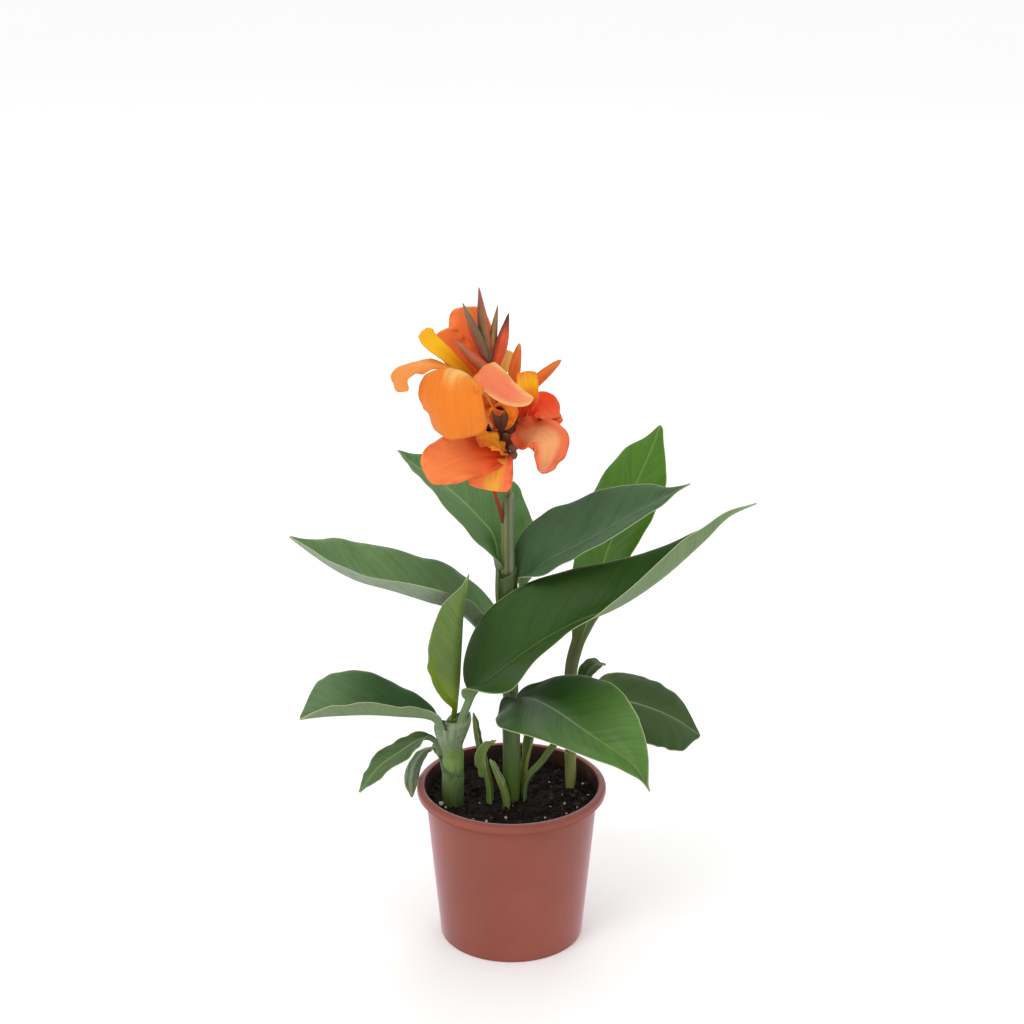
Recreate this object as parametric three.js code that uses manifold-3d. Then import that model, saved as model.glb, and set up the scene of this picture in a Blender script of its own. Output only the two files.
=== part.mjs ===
// Potted canna lily: a plastic nursery pot filled with soil, three leafy shoots from one rhizome,
// and an orange flower head. Millimetres, +Z up, +X to the right, -Y to the front.
// The origin is the middle of the pot's flat foot.
import * as THREE from "three";
import { mergeVertices } from "three/addons/utils/BufferGeometryUtils.js";
import Module from "manifold-3d";

const wasm = await Module();
wasm.setup();

// ---------------------------------------------------------------- driving dimensions

const GAP = 0.35; // clearance between touching pieces
const POT = {
  height: 130,
  rimRadius: 75, // outermost edge of the lip
  mouthRadius: 68.8, // inside, at the top
  shoulderRadius: 67.8, // outside, just under the lip
  footRadius: 57,
  wall: 1.6,
  floor: 2.4,
  lip: 7,
  sides: 36,
  drains: 6,
  drainRadius: 4,
  drainCircle: 46,
};
const SOIL = { top: 114, crown: 1.6, rough: 1.1 };
const RHIZOME = { top: 84, radius: 9.5 };
const STEM_SIDES = 10; // stems and the sheaths round them are turned with the same number of sides
const STEM_RINGS = 8; // steps along a stem
const SHEATH = { lowWall: 0.9, topWall: 1.5 };
const SOCKET = { radius: 5.6, footRadius: 4.8, depth: 40 }; // the hole round a stalk in the soil

// A stem is round in plan at every height; its middle follows a few points [x, y, z].
const STEMS = {
  main: {
    path: [[1, 0, 84], [0, 0, 112], [0, 0, 167], [-2, 0, 253], [-2, 0, 304], [-3, 0, 340]],
    radius: [[84.4, 5.6], [114, 5.4], [210, 4.6], [304, 4.3], [340, 3.4]],
  },
  left: {
    path: [[-42, -7, 84], [-46, -9, 115], [-46, -10, 146], [-45, -13, 194]],
    radius: [[84, 6.4], [115, 7], [150, 6.6], [176, 5.6], [194, 3.8]],
  },
  right: {
    path: [[43, 14, 84], [47, 18, 115], [47, 24, 147], [47, 31, 182], [47, 34, 198]],
    radius: [[84, 2.4], [115, 2.6], [150, 2.6], [182, 1.8]],
  },
};

// A sheath wraps its stem from one height to another; the wall thickens upwards,
// and the top is cut slanting up towards the leaf that it carries.
// A leaf is a stalk with a channel that opens into a blade. Its path runs up the middle,
// and its two halves, left and right of the way it points, have their own width, fold and wave.
const LEAVES = [
  {
    name: "leaf_front_low", stem: "main", sheath: [122, 200, 4, -50],
    path: [
      [5, -7, 194], [5, -18, 211], [15, -42, 223], [31, -66, 226], [46, -88, 225], [62, -106, 221],
      [77, -117, 215], [91, -124, 206], [102, -126, 187],
    ],
    half: [44, 50], widest: [0.54, 0.42], blunt: 2.1, stalk: 0.04,
    roll: [0, 0], fold: [[30, 66], [-16, 34]], curl: [-6, -16],
    wave: [2.2, 1.3, 0.1],
  },
  {
    name: "leaf_long_left", stem: "main", sheath: [206, 234, 3, 215],
    path: [
      [-8, -2, 227], [-15, 3, 242], [-27, 7, 261], [-43, -2, 280], [-66, -18, 295],
      [-92, -26, 308], [-118, -34, 320], [-140, -41, 336], [-165, -48, 358],
    ],
    half: [28, 42], widest: [0.5, 0.36], blunt: 1.1, stalk: 0.1,
    roll: [0, -30], fold: [[55, 62], [40, 10]], curl: [0, -10],
    wave: [1.5, 1.5, 0.6],
  },
  {
    name: "leaf_back_left", stem: "main", sheath: [237, 262, 3, 140],
    path: [
      [-7, 7, 254], [-11, 10, 285], [-11, 12, 314], [-14, 16, 334], [-27, 24, 348], [-43, 36, 360],
      [-62, 48, 371], [-77, 58, 378], [-89, 66, 386],
    ],
    half: [34, 60], widest: [0.3, 0.4], blunt: 1.4, stalk: 0.3,
    roll: [0, 0], fold: [[20, 20], [0, 10]], curl: [0, -10],
    wave: [1.5, 1.5, 0.3],
  },
  {
    name: "leaf_upper_right", stem: "main", sheath: [266, 302, 3, 0],
    path: [
      [6, -4, 294], [13, -9, 308], [26, -15, 325], [56, -20, 344], [82, -24, 362], [107, -28, 378],
      [133, -34, 395],
    ],
    half: [45, 24], widest: [0.32, 0.42], blunt: 1.5, stalk: 0.05,
    roll: [0, 0], fold: [[58, 35], [-10, 0]], curl: [-10, -10],
    wave: [1.5, 1.5, 0.3],
  },
  {
    name: "leaf_back_right", stem: "right", sheath: [152, 190, 6, 40],
    path: [
      [50, 35, 186], [51, 39, 215], [61, 46, 250], [73, 56, 296], [84, 62, 325], [97, 68, 355],
      [109, 72, 383], [117, 74, 404],
    ],
    half: [42, 34], widest: [0.56, 0.68], blunt: 1.5, stalk: 0.2,
    roll: [0, 0], fold: [[10, 0], [0, 0]], curl: [0, 0],
    wave: [1.5, 1.5, 0.3], stalkHalf: 9, stalkFold: 32,
  },
  {
    name: "leaf_front_large", stem: "left", sheath: [178, 186, 2, -20],
    path: [
      [-40, -22, 182], [-33, -29, 209], [-22, -35, 231], [16, -50, 270], [49, -58, 294],
      [79, -62, 308], [110, -66, 332], [140, -68, 362], [158, -69, 382], [179, -70, 393],
    ],
    half: [53, 37], widest: [0.28, 0.34], blunt: 1.5, stalk: 0.12,
    roll: [0, 0], fold: [[80, 12], [-45, 85]], curl: [-10, 0],
    wave: [2, 1.5, 0.3], stalkHalf: 6.6, stalkFold: 52,
  },
  {
    name: "leaf_young", stem: "left", sheath: [189, 193, 1, 90],
    path: [
      [-45, -14, 191], [-43, -16, 203], [-41, -24, 230], [-39, -34, 264], [-37, -39, 294],
      [-32, -41, 325],
    ],
    half: [22, 31], widest: [0.45, 0.5], blunt: 2.0, stalk: 0.08, heading: 0,
    roll: [0, 0], fold: [[80, 80], [70, 70]], curl: [10, 0],
    wave: [0.5, 1, 0], stalkHalf: 3.6,
  },
  {
    name: "leaf_lower_left", stem: "left", sheath: [166, 175, 1, 200],
    path: [
      [-53, -19, 172], [-58, -26, 194], [-67, -31, 202], [-86, -40, 208], [-108, -52, 215],
      [-130, -64, 220], [-146, -71, 222], [-159, -77, 222],
    ],
    half: [16, 41], widest: [0.5, 0.56], blunt: 1.4, stalk: 0.16,
    roll: [0, 0], fold: [[60, 70], [45, 40]], curl: [0, -10],
    wave: [1.5, 1.2, 0.3], stalkHalf: 5.4, stalkFold: 50,
  },
  {
    name: "leaf_small_left", stem: "left", sheath: [149, 163, 0, 170],
    path: [
      [-57, -9, 159], [-61, -10, 171], [-71, -14, 175], [-87, -24, 169], [-104, -34, 160],
      [-118, -42, 143],
    ],
    half: [13, 13], widest: [0.5, 0.5], blunt: 1.2, stalk: 0.2,
    roll: [0, 0], fold: [[10, 0], [20, 0]], curl: [-10, -10],
    wave: [1, 1.2, 0.3], stalkHalf: 4.4, stalkFold: 50,
  },
  {
    name: "leaf_over_rim", stem: "left", sheath: [120, 143, 1, 150],
    path: [
      [-52, -2, 138], [-57, 3, 157], [-67, 4, 158], [-76, 8, 145], [-80, 13, 127], [-80, 18, 108],
    ],
    half: [6, 7], widest: [0.5, 0.5], blunt: 1.0, stalk: 0.15, heading: 115,
    roll: [0, 0], fold: [[0, 0], [0, 0]], curl: [-10, -10],
    wave: [0.5, 1.2, 0.3], stalkHalf: 3.4, stalkFold: 40,
  },
  {
    name: "leaf_low_right", foot: 96,
    path: [
      [12, 2, 96], [12, 2, 128], [25, 4, 146], [40, 7, 166], [62, 13, 184], [88, 22, 190],
      [112, 31, 180], [134, 38, 166], [152, 44, 150],
    ],
    half: [32, 36], widest: [0.42, 0.45], blunt: 0.9, stalk: 0.54,
    roll: [0, 24], fold: [[20, 10], [-14, -4]], curl: [-10, -10],
    wave: [1.5, 1.2, 0.3], stalkHalf: 4.2, stalkFold: 45,
  },
  {
    name: "leaf_small_right", stem: "right", sheath: [122, 149, 2, 40],
    path: [[52, 27, 144], [57, 31, 175], [59, 36, 204], [66, 40, 214], [75, 44, 213]],
    half: [9, 9], widest: [0.6, 0.6], blunt: 0.9, stalk: 0.55,
    roll: [0, 0], fold: [[20, 10], [20, 10]], curl: [-10, -10],
    wave: [0.5, 1.2, 0.3], stalkHalf: 3,
  },
];

// How a blade is made: its grid, its stalk's half width, thickness and fold, the blade's thickness,
// the half width left at the tip, and how much the tip is drawn out to a point.
const LEAF = {
  rows: 12, columns: 6, stalkHalf: 4.2, stalkThick: 2.4, bladeThick: 0.9, tipHalf: 0.8, stalkFold: 62,
  point: 0.6,
};
const TIP_SHARE = 0.2; // the last share of a blade, over which its tip is drawn out
const EDGE_THINNING = 0.25; // the share of its thickness that a blade loses at its margins
const FOLD_STEPS = 12; // steps across a half blade, along which its fold and curl add up
const SIDE_PHASE = 0.37; // how far the waves of the right margin run ahead of the left one's
const NUDGE = 0.005; // a small step over a blade, used to find which way it faces

// Shoots that stand in the soil beside the three stems; each is a stalk that opens into a small leaf.
const SPROUTS = [
  {
    name: "sprout_left", foot: 98, stalkHalf: 4.4, leaves: [
      {
        path: [[-19, -4, 98], [-19, -4, 126], [-23, -5, 148], [-28, -4, 172], [-30, -2, 192]],
        half: [5, 5], widest: [0.6, 0.6], blunt: 1, stalk: 0.5,
        roll: [0, 0], fold: [[60, 40], [60, 40]], curl: [0, 0],
        wave: [0, 1, 0],
      },
      {
        path: [[-21, -5, 138], [-22, -8, 156], [-18, -12, 168], [-12, -14, 174]],
        half: [6, 7], widest: [0.5, 0.5], blunt: 0.9, stalk: 0.2,
        roll: [0, 0], fold: [[50, 30], [50, 30]], curl: [0, 0],
        wave: [0, 1, 0],
      },
    ],
  },
  {
    name: "sprout_front", foot: 98, stalkHalf: 4.6, leaves: [
      {
        path: [[-5, -12, 98], [-6, -12, 120], [-10, -12, 136], [-17, -11, 156]],
        half: [4, 4], widest: [0.5, 0.5], blunt: 1, stalk: 0.6,
        roll: [0, 0], fold: [[60, 50], [60, 50]], curl: [0, 0],
        wave: [0, 1, 0],
      },
    ],
  },
  {
    name: "sprout_right", foot: 98, stalkHalf: 4.2, leaves: [
      {
        path: [[9, 12, 98], [10, 12, 124], [14, 14, 150], [20, 18, 176], [26, 24, 192]],
        half: [7, 7], widest: [0.5, 0.5], blunt: 1, stalk: 0.5,
        roll: [0, 0], fold: [[50, 20], [50, 20]], curl: [0, 0],
        wave: [0, 1, 0],
      },
    ],
  },
];

// The flower head: an axis that carries ovaries, bracts and pointed buds, and four open blooms.
const AXIS = {
  path: [[-3, 0, 340], [-3, 0, 377], [-4, 0, 406], [-6, 1, 429], [-10, 2, 453], [-15, 3, 476],
    [-17, 3, 488]],
  radius: [[340.4, 3.4], [380, 3.2], [430, 2.6], [470, 2.4], [488, 2.2]],
};
const STALK_SHEATH = { low: 310, high: 372, slant: 4, towards: -30, wall: 1.2 };
const BUDS = [
  { path: [[-17, 3, 480], [-21, 2, 508], [-24, 0, 537]], radius: 4.4 },
  { path: [[-17, 1, 478], [-28, -5, 506], [-36, -7, 527]], radius: 4.2 },
  { path: [[-15, 4, 478], [-13, 5, 502], [-10, 5, 522]], radius: 3.0 },
  { path: [[-14, 2, 470], [-7, 2, 494], [-2, 0, 517]], radius: 5 },
  { path: [[-13, 2, 467], [-28, -8, 484], [-42, -13, 500]], radius: 4.6 },
  { path: [[-15, 5, 474], [-18, 10, 494], [-20, 14, 508]], radius: 3.2 },
];
const BRACTS = [
  { path: [[-5, -1, 428], [-7, -7, 440], [-9, -11, 449]], half: [6, 6] },
  { path: [[-5, -1, 424], [-2, -8, 438], [-2, -11, 452]], half: [5, 5] },
  { path: [[-4, -1, 411], [-3, -11, 420], [-5, -17, 429]], half: [4, 4] },
  { path: [[-8, 3, 446], [-8, 9, 458], [-10, 12, 470]], half: [4, 4] },
  { path: [[-7, 1, 440], [-4, -5, 456], [-8, -7, 472]], half: [4, 4] },
  { path: [[-4, 0, 403], [2, -2, 409], [8, -4, 416]], half: [4, 4] },
];
const RED_BRACT = { path: [[-7, -3, 352], [-10, -7, 366], [-15, -10, 384]], half: [2.4, 2.4] };
const OVARIES = [
  { middle: [-8.5, -3, 417], radius: 3.4 },
  { middle: [-3.5, -3, 400], radius: 3.4 },
  { middle: [-1, 1, 426], radius: 3.4 },
  { middle: [-11.5, 5, 441], radius: 3.4 },
];

// Petals are described as leaves are. Each bloom's petals start together in its throat.
const BLOOMS = [
  {
    name: "bloom_front", throat: [[-11, -8, 425], [-12, -11, 430]], petals: [
      {
        path: [
          [-12, -9, 428], [-19, -20, 452], [-32, -32, 477], [-43, -44, 487], [-48, -56, 475],
          [-47, -61, 458], [-44, -59, 438],
        ],
        half: [23, 27], widest: [0.7, 0.72], blunt: 0.55, stalk: 0.08,
        roll: [0, 0], fold: [[-20, -25], [-6, -20]], curl: [-30, -34],
        wave: [1.2, 1.5, 0.2], tipHalf: 9,
      },
      {
        path: [
          [-12, -9, 428], [-20, -18, 451], [-26, -29, 476], [-20, -38, 484], [-11, -44, 480],
          [-1, -49, 473], [8, -52, 469], [16, -53, 468],
        ],
        half: [10, 14], widest: [0.36, 0.5], blunt: 1, stalk: 0.08,
        roll: [0, 48], fold: [[0, 10], [-10, -10]], curl: [-20, 30],
        wave: [0.8, 1.5, 0.4], tipHalf: 0.8,
      },
      {
        path: [[-12, -9, 428], [-6, -15, 442], [-9, -27, 455], [-18, -38, 461]],
        half: [9, 12], widest: [0.5, 0.5], blunt: 0.6, stalk: 0.06, heading: 200,
        roll: [30, 50], fold: [[0, 0], [0, 0]], curl: [-20, -20],
        wave: [0.6, 1.5, 0.1], tipHalf: 2,
      },
    ],
  },
  {
    name: "bloom_bottom", throat: [[-4, -8, 405], [-5, -12, 410]], petals: [
      {
        path: [[-4, -10, 407], [-18, -22, 412], [-34, -33, 413], [-49, -41, 410], [-63, -48, 406]],
        half: [14, 23], widest: [0.5, 0.55], blunt: 0.8, stalk: 0.06,
        roll: [-50, -50], fold: [[0, 0], [0, 0]], curl: [-10, -20],
        wave: [1.6, 1.5, 0.2], tipHalf: 1.5,
      },
      {
        path: [[-4, -10, 407], [-8, -19, 408], [-12, -24, 398], [-14, -25, 386]],
        half: [11, 17], widest: [0.6, 0.66], blunt: 0.6, stalk: 0.08, heading: -90,
        roll: [0, 0], fold: [[0, 0], [0, 0]], curl: [-10, -10],
        wave: [0.8, 1.5, 0.2], tipHalf: 4,
      },
      {
        path: [[-4, -10, 407], [-9, -16, 417], [-17, -22, 425], [-26, -27, 428]],
        half: [9, 8], widest: [0.6, 0.6], blunt: 0.7, stalk: 0.1,
        roll: [-40, -40], fold: [[30, 10], [30, 10]], curl: [0, 0],
        wave: [0.8, 1.5, 0.2], tipHalf: 2,
      },
    ],
  },
  {
    name: "bloom_right", throat: [[3, 0, 430], [6, -2, 435]], petals: [
      {
        path: [
          [4, -1, 432], [13, -12, 429], [23, -22, 432], [30, -29, 428], [28, -33, 416],
          [23, -34, 403],
        ],
        half: [9.5, 16.5], widest: [0.4, 0.36], blunt: 0.85, stalk: 0.04,
        roll: [45, 10], fold: [[0, 0], [0, 0]], curl: [-20, -20],
        wave: [0.8, 1.5, 0.2], tipHalf: 1,
      },
      {
        path: [[4, -1, 432], [11, 3, 439], [19, 2, 445], [26, -2, 443], [30, -8, 437]],
        half: [13, 12], widest: [0.5, 0.5], blunt: 0.7, stalk: 0.04,
        roll: [50, 30], fold: [[0, 0], [0, 0]], curl: [-20, -20],
        wave: [0.8, 1.5, 0.2], tipHalf: 1.5,
      },
      {
        path: [[4, -1, 432], [8, -6, 446], [12, -13, 458], [12, -15, 467], [11, -13, 476]],
        half: [9, 9], widest: [0.76, 0.76], blunt: 0.7, stalk: 0.08, heading: 90,
        roll: [0, 0], fold: [[40, 30], [40, 30]], curl: [30, 30],
        wave: [0.6, 1.5, 0.2], tipHalf: 1.5,
      },
      {
        path: [[4, -1, 432], [1, -1, 456], [3, -3, 477], [6, -5, 495]],
        half: [5, 5], widest: [0.36, 0.36], blunt: 1.1, stalk: 0.3, heading: 90,
        roll: [0, 0], fold: [[-40, -30], [-40, -30]], curl: [0, 0],
        wave: [0, 1, 0],
      },
      {
        path: [[4, -1, 432], [12, 4, 454], [23, 4, 466], [37, 2, 480]],
        half: [5, 5], widest: [0.36, 0.36], blunt: 1.1, stalk: 0.3, heading: 90,
        roll: [0, 0], fold: [[-40, -30], [-40, -30]], curl: [0, 0],
        wave: [0, 1, 0],
      },
    ],
  },
  {
    name: "bloom_top", throat: [[-19, 10, 448], [-22, 11, 453]], petals: [
      {
        path: [[-21, 11, 450], [-25, 17, 470], [-30, 20, 489], [-33, 20, 504], [-35, 16, 517]],
        half: [15, 17], widest: [0.55, 0.55], blunt: 0.75, stalk: 0.06, heading: 90,
        roll: [0, 0], fold: [[10, 0], [10, 0]], curl: [-20, -20],
        wave: [1.2, 1.5, 0.2], tipHalf: 1,
      },
      {
        path: [[-21, 11, 450], [-33, 11, 472], [-45, 10, 488], [-53, 6, 501]],
        half: [11, 12], widest: [0.6, 0.6], blunt: 0.7, stalk: 0.06, heading: 100,
        roll: [0, 0], fold: [[0, 0], [0, 0]], curl: [-10, -10],
        wave: [1.4, 1.5, 0.2], tipHalf: 1,
      },
      {
        path: [
          [-21, 11, 450], [-35, -1, 471], [-53, -12, 481], [-70, -20, 484], [-81, -27, 480],
          [-84, -31, 466],
        ],
        half: [10, 11], widest: [0.7, 0.7], blunt: 0.6, stalk: 0.06,
        roll: [0, 0], fold: [[10, -20], [10, -20]], curl: [-10, -10],
        wave: [1, 1.5, 0.2], tipHalf: 3,
      },
      {
        path: [[-21, 11, 450], [-33, 1, 470], [-47, -8, 486], [-60, -14, 500], [-64, -16, 509]],
        half: [4, 4], widest: [0.85, 0.85], blunt: 0.9, stalk: 0.06, heading: 120,
        roll: [0, 0], fold: [[40, 0], [40, 0]], curl: [0, 0],
        wave: [0.5, 1.5, 0.2], tipHalf: 3,
      },
      {
        path: [[-21, 11, 450], [-13, 14, 462], [-6, 15, 473], [-3, 14, 484]],
        half: [5, 5], widest: [0.7, 0.7], blunt: 0.7, stalk: 0.2, heading: 90,
        roll: [0, 0], fold: [[10, 0], [10, 0]], curl: [0, 0],
        wave: [0.5, 1.5, 0.2], tipHalf: 2,
      },
    ],
  },
];
const PETAL = {
  rows: 7, columns: 4, stalkHalf: 2.2, stalkThick: 1.5, bladeThick: 0.8, tipHalf: 1.0, stalkFold: 30,
  point: 0,
};
const SMALL = {
  rows: 5, columns: 2, stalkHalf: 1.6, stalkThick: 1.2, bladeThick: 0.8, tipHalf: 0.5, stalkFold: 40,
  point: 0,
};
const PLAIN = {
  widest: [0.45, 0.45], blunt: 1, stalk: 0.1, roll: [0, 0], fold: [[30, 30], [30, 30]], curl: [0, 0],
  wave: [0, 1, 0],
};
const NARROW_PETAL = 4; // petals of no more than this half width are made as SMALL

// ---------------------------------------------------------------- helpers

const radians = (degrees) => degrees * Math.PI / 180;
const mix = (a, b, t) => a + (b - a) * t;
const clamp = (t) => Math.min(1, Math.max(0, t));
const smooth = (t) => clamp(t) ** 2 * (3 - 2 * clamp(t));
const vector = (p) => new THREE.Vector3(...p);

// Reads a value at one height from a table of [height, value] pairs.
function valueAt(table, z) {
  let next = table.findIndex((pair) => pair[0] >= z);
  if (next < 0) next = table.length - 1;
  if (next === 0) return table[0][1];
  const [[z0, a], [z1, b]] = [table[next - 1], table[next]];
  return mix(a, b, clamp((z - z0) / (z1 - z0)));
}

function solid(geometry) {
  const bare = geometry.clone();
  bare.deleteAttribute("normal");
  bare.deleteAttribute("uv");
  const merged = mergeVertices(bare, 1e-4);
  return new wasm.Manifold(new wasm.Mesh({
    numProp: 3,
    vertProperties: merged.attributes.position.array,
    triVerts: new Uint32Array(merged.index.array),
  }));
}

function geometryOf(manifold) {
  const mesh = manifold.getMesh();
  const geometry = new THREE.BufferGeometry();
  geometry.setAttribute("position", new THREE.BufferAttribute(mesh.vertProperties, 3));
  geometry.setIndex(new THREE.BufferAttribute(mesh.triVerts, 1));
  return geometry;
}

const join = (pieces) => pieces.map(solid).reduce((all, piece) => all.add(piece));

// The middle of a stem at one height.
function axisAt(stem, z) {
  const curve = new THREE.CatmullRomCurve3(stem.path.map(vector), false, "catmullrom", 0.5);
  let low = 0;
  let high = 1;
  for (let step = 0; step < 24; step += 1) {
    const middle = (low + high) / 2;
    if (curve.getPoint(middle).z < z) low = middle;
    else high = middle;
  }
  return curve.getPoint(low);
}

// A turned profile of [radius, height] pairs whose middle leans along a stem.
function turnedOn(stem, profile, sides, slant = 0, towards = 0) {
  const outline = profile.map(([r, z]) => new THREE.Vector2(r, z));
  const geometry = new THREE.LatheGeometry(outline, sides);
  geometry.rotateX(Math.PI / 2);
  const heights = profile.map((p) => p[1]);
  const foot = Math.min(...heights);
  const top = Math.max(...heights);
  const place = geometry.attributes.position;
  for (let i = 0; i < place.count; i += 1) {
    const [x, y, z] = [place.getX(i), place.getY(i), place.getZ(i)];
    const facing = Math.cos(Math.atan2(y, x) - radians(towards));
    const height = z + slant * facing * clamp((z - foot) / (top - foot));
    const middle = axisAt(stem, height);
    place.setXYZ(i, x + middle.x, y + middle.y, height);
  }
  return geometry;
}

function stemSolid(stem, grow = 0, low = stem.radius[0][0], high = stem.radius.at(-1)[0]) {
  const heights = Array.from({ length: STEM_RINGS + 1 }, (_, i) => mix(low, high, i / STEM_RINGS));
  const wall = heights.map((z) => [valueAt(stem.radius, z) + grow, z]);
  return turnedOn(stem, [[0, low], ...wall, [0, high]], STEM_SIDES);
}

function sheathSolid(stem, [low, high, slant, towards]) {
  const inner = (z) => valueAt(stem.radius, z) + GAP;
  const middle = mix(low, high, 0.5);
  return turnedOn(stem, [
    [inner(low), low], [inner(low) + SHEATH.lowWall, low], [inner(high) + SHEATH.topWall, high],
    [inner(high), high], [inner(middle), middle], [inner(low), low],
  ], STEM_SIDES, slant, towards);
}

// Half the width of a blade along its length, as a share of the widest.
function bladeOutline(s, widest, blunt) {
  if (s <= 0 || s >= 1) return 0;
  return ((s / widest) ** widest * ((1 - s) / (1 - widest)) ** (1 - widest)) ** blunt;
}

// One thin slab: a plane's grid laid along a path, with the same split of quads on both faces.
function bladeSolid(leaf, form) {
  const { rows, columns } = form;
  const curve = new THREE.CatmullRomCurve3(leaf.path.map(vector), false, "catmullrom", 0.5);
  const start = vector(leaf.path[0]);
  const end = vector(leaf.path.at(-1));
  const inPlan = Math.atan2(end.y - start.y, end.x - start.x);
  const heading = leaf.heading === undefined ? inPlan : radians(leaf.heading);
  const leftwards = new THREE.Vector3(-Math.sin(heading), Math.cos(heading), 0);
  const stalk = leaf.stalk;
  const stalkHalf = leaf.stalkHalf ?? form.stalkHalf;

  function middleOf(u, v) {
    const s = clamp((u - stalk) / (1 - stalk));
    const side = v > 0 ? 0 : 1;
    const across = Math.abs(v);
    const [base, tip] = leaf.fold[side];
    const fold = mix(leaf.stalkFold ?? form.stalkFold, mix(base, tip, s), smooth(s * 5));
    const drawnOut = 1 - form.point * (1 - smooth((1 - s) / TIP_SHARE));
    const width = leaf.half[side] * bladeOutline(s, leaf.widest[side], leaf.blunt) * drawnOut;
    const tipHalf = (leaf.tipHalf ?? form.tipHalf) * s;
    const half = Math.hypot(stalkHalf * (1 - smooth(s * 1.5)), width) + tipHalf;
    let out = 0;
    let up = 0;
    for (let k = 0; k < FOLD_STEPS; k += 1) {
      const d = (k + 0.5) / FOLD_STEPS * across;
      const angle = radians(fold * clamp(d * 3) + leaf.curl[side] * smooth(s * 4) * d * d);
      out += Math.cos(angle) * across * half / FOLD_STEPS;
      up += Math.sin(angle) * across * half / FOLD_STEPS;
    }
    const [amount, count, phase] = leaf.wave;
    const swing = Math.sin(2 * Math.PI * (count * s + phase + side * SIDE_PHASE));
    up += amount * across ** 2 * swing * Math.sin(Math.PI * s);
    const along = curve.getTangentAt(u);
    const normal = along.clone().cross(leftwards).normalize();
    const left = normal.clone().cross(along);
    const roll = radians(mix(leaf.roll[0], leaf.roll[1], smooth(u)));
    const [even, tilted] = [Math.cos(roll), Math.sin(roll)];
    const rolledLeft = left.clone().multiplyScalar(even).addScaledVector(normal, tilted);
    const rolledUp = normal.multiplyScalar(even).addScaledVector(left, -tilted);
    const sideways = side === 0 ? out : -out;
    return curve.getPointAt(u).addScaledVector(rolledLeft, sideways).addScaledVector(rolledUp, up);
  }

  const plane = new THREE.PlaneGeometry(2, 1, columns, rows);
  const grid = plane.attributes.position;
  const count = grid.count;
  const places = new Float32Array(count * 6);
  for (let i = 0; i < count; i += 1) {
    const v = grid.getX(i);
    const u = 0.5 - grid.getY(i);
    const s = clamp((u - stalk) / (1 - stalk));
    const ahead = middleOf(Math.min(1, u + NUDGE), v).sub(middleOf(Math.max(0, u - NUDGE), v));
    const beside = middleOf(u, Math.min(1, v + NUDGE)).sub(middleOf(u, Math.max(-1, v - NUDGE)));
    const out = ahead.cross(beside).normalize();
    const middle = mix(form.stalkThick, form.bladeThick, smooth(s * 4));
    const thick = middle * (1 - EDGE_THINNING * Math.abs(v));
    const point = middleOf(u, v);
    point.clone().addScaledVector(out, thick / 2).toArray(places, i * 3);
    point.clone().addScaledVector(out, -thick / 2).toArray(places, (i + count) * 3);
  }
  const upper = [...plane.index.array];
  const faces = [];
  for (let i = 0; i < upper.length; i += 3) {
    const [a, b, c] = upper.slice(i, i + 3);
    faces.push(a, b, c, a + count, c + count, b + count);
  }
  const wide = columns + 1;
  const last = rows * wide;
  const rim = [];
  for (let j = 0; j < columns; j += 1) rim.push([j, j + 1], [last + j + 1, last + j]);
  for (let i = 0; i < rows; i += 1) {
    const here = i * wide;
    const next = here + wide;
    rim.push([next, here], [here + columns, next + columns]);
  }
  rim.forEach(([a, b]) => faces.push(a, b, a + count, b, b + count, a + count));
  const geometry = new THREE.BufferGeometry();
  geometry.setAttribute("position", new THREE.BufferAttribute(places, 3));
  geometry.setIndex(faces);
  return geometry;
}

// ---------------------------------------------------------------- pot and soil

function potSolid() {
  const { height, rimRadius, mouthRadius, shoulderRadius, footRadius, wall, floor, lip, sides } = POT;
  const under = height - lip; // the lip's lower edge
  const outline = [
    [0, 0], [footRadius - 1.5, 0], [footRadius, 1.5], // a small bevel round the foot
    [shoulderRadius, under - 5], [shoulderRadius + 1.6, under - 1.5], // the wall turns out under the lip
    [rimRadius - 1.4, under + 1], [rimRadius, under + 3], [rimRadius, height - 2.4], // the lip's outside
    [rimRadius - 1.2, height - 0.6], [rimRadius - 3, height], [mouthRadius + 0.8, height],
    // its rounded top
    [mouthRadius, height - 1], [footRadius - wall, floor], [0, floor], // the inside
  ];
  const body = new THREE.LatheGeometry(outline.map(([r, z]) => new THREE.Vector2(r, z)), sides);
  body.rotateX(Math.PI / 2);
  let pot = solid(body);
  for (let k = 0; k < POT.drains; k += 1) {
    const angle = 2 * Math.PI * (k + 0.5) / POT.drains;
    const drill = new THREE.CylinderGeometry(POT.drainRadius, POT.drainRadius, floor * 4, 10);
    drill.rotateX(Math.PI / 2);
    drill.translate(POT.drainCircle * Math.cos(angle), POT.drainCircle * Math.sin(angle), 0);
    pot = pot.subtract(solid(drill));
  }
  return pot;
}

function innerRadius(z) {
  const share = (z - POT.floor) / (POT.height - 1 - POT.floor);
  return mix(POT.footRadius - POT.wall, POT.mouthRadius, share);
}

function soilHeight(x, y) {
  const far = Math.hypot(x, y) / POT.mouthRadius;
  const small = Math.sin(x * 0.21 + 1.3) * Math.cos(y * 0.17 + 0.4);
  const large = Math.sin(x * 0.09 - y * 0.26 + 2.1);
  return SOIL.top + SOIL.crown * (1 - 2 * far * far) + SOIL.rough * (0.6 * small + 0.36 * large);
}

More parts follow.
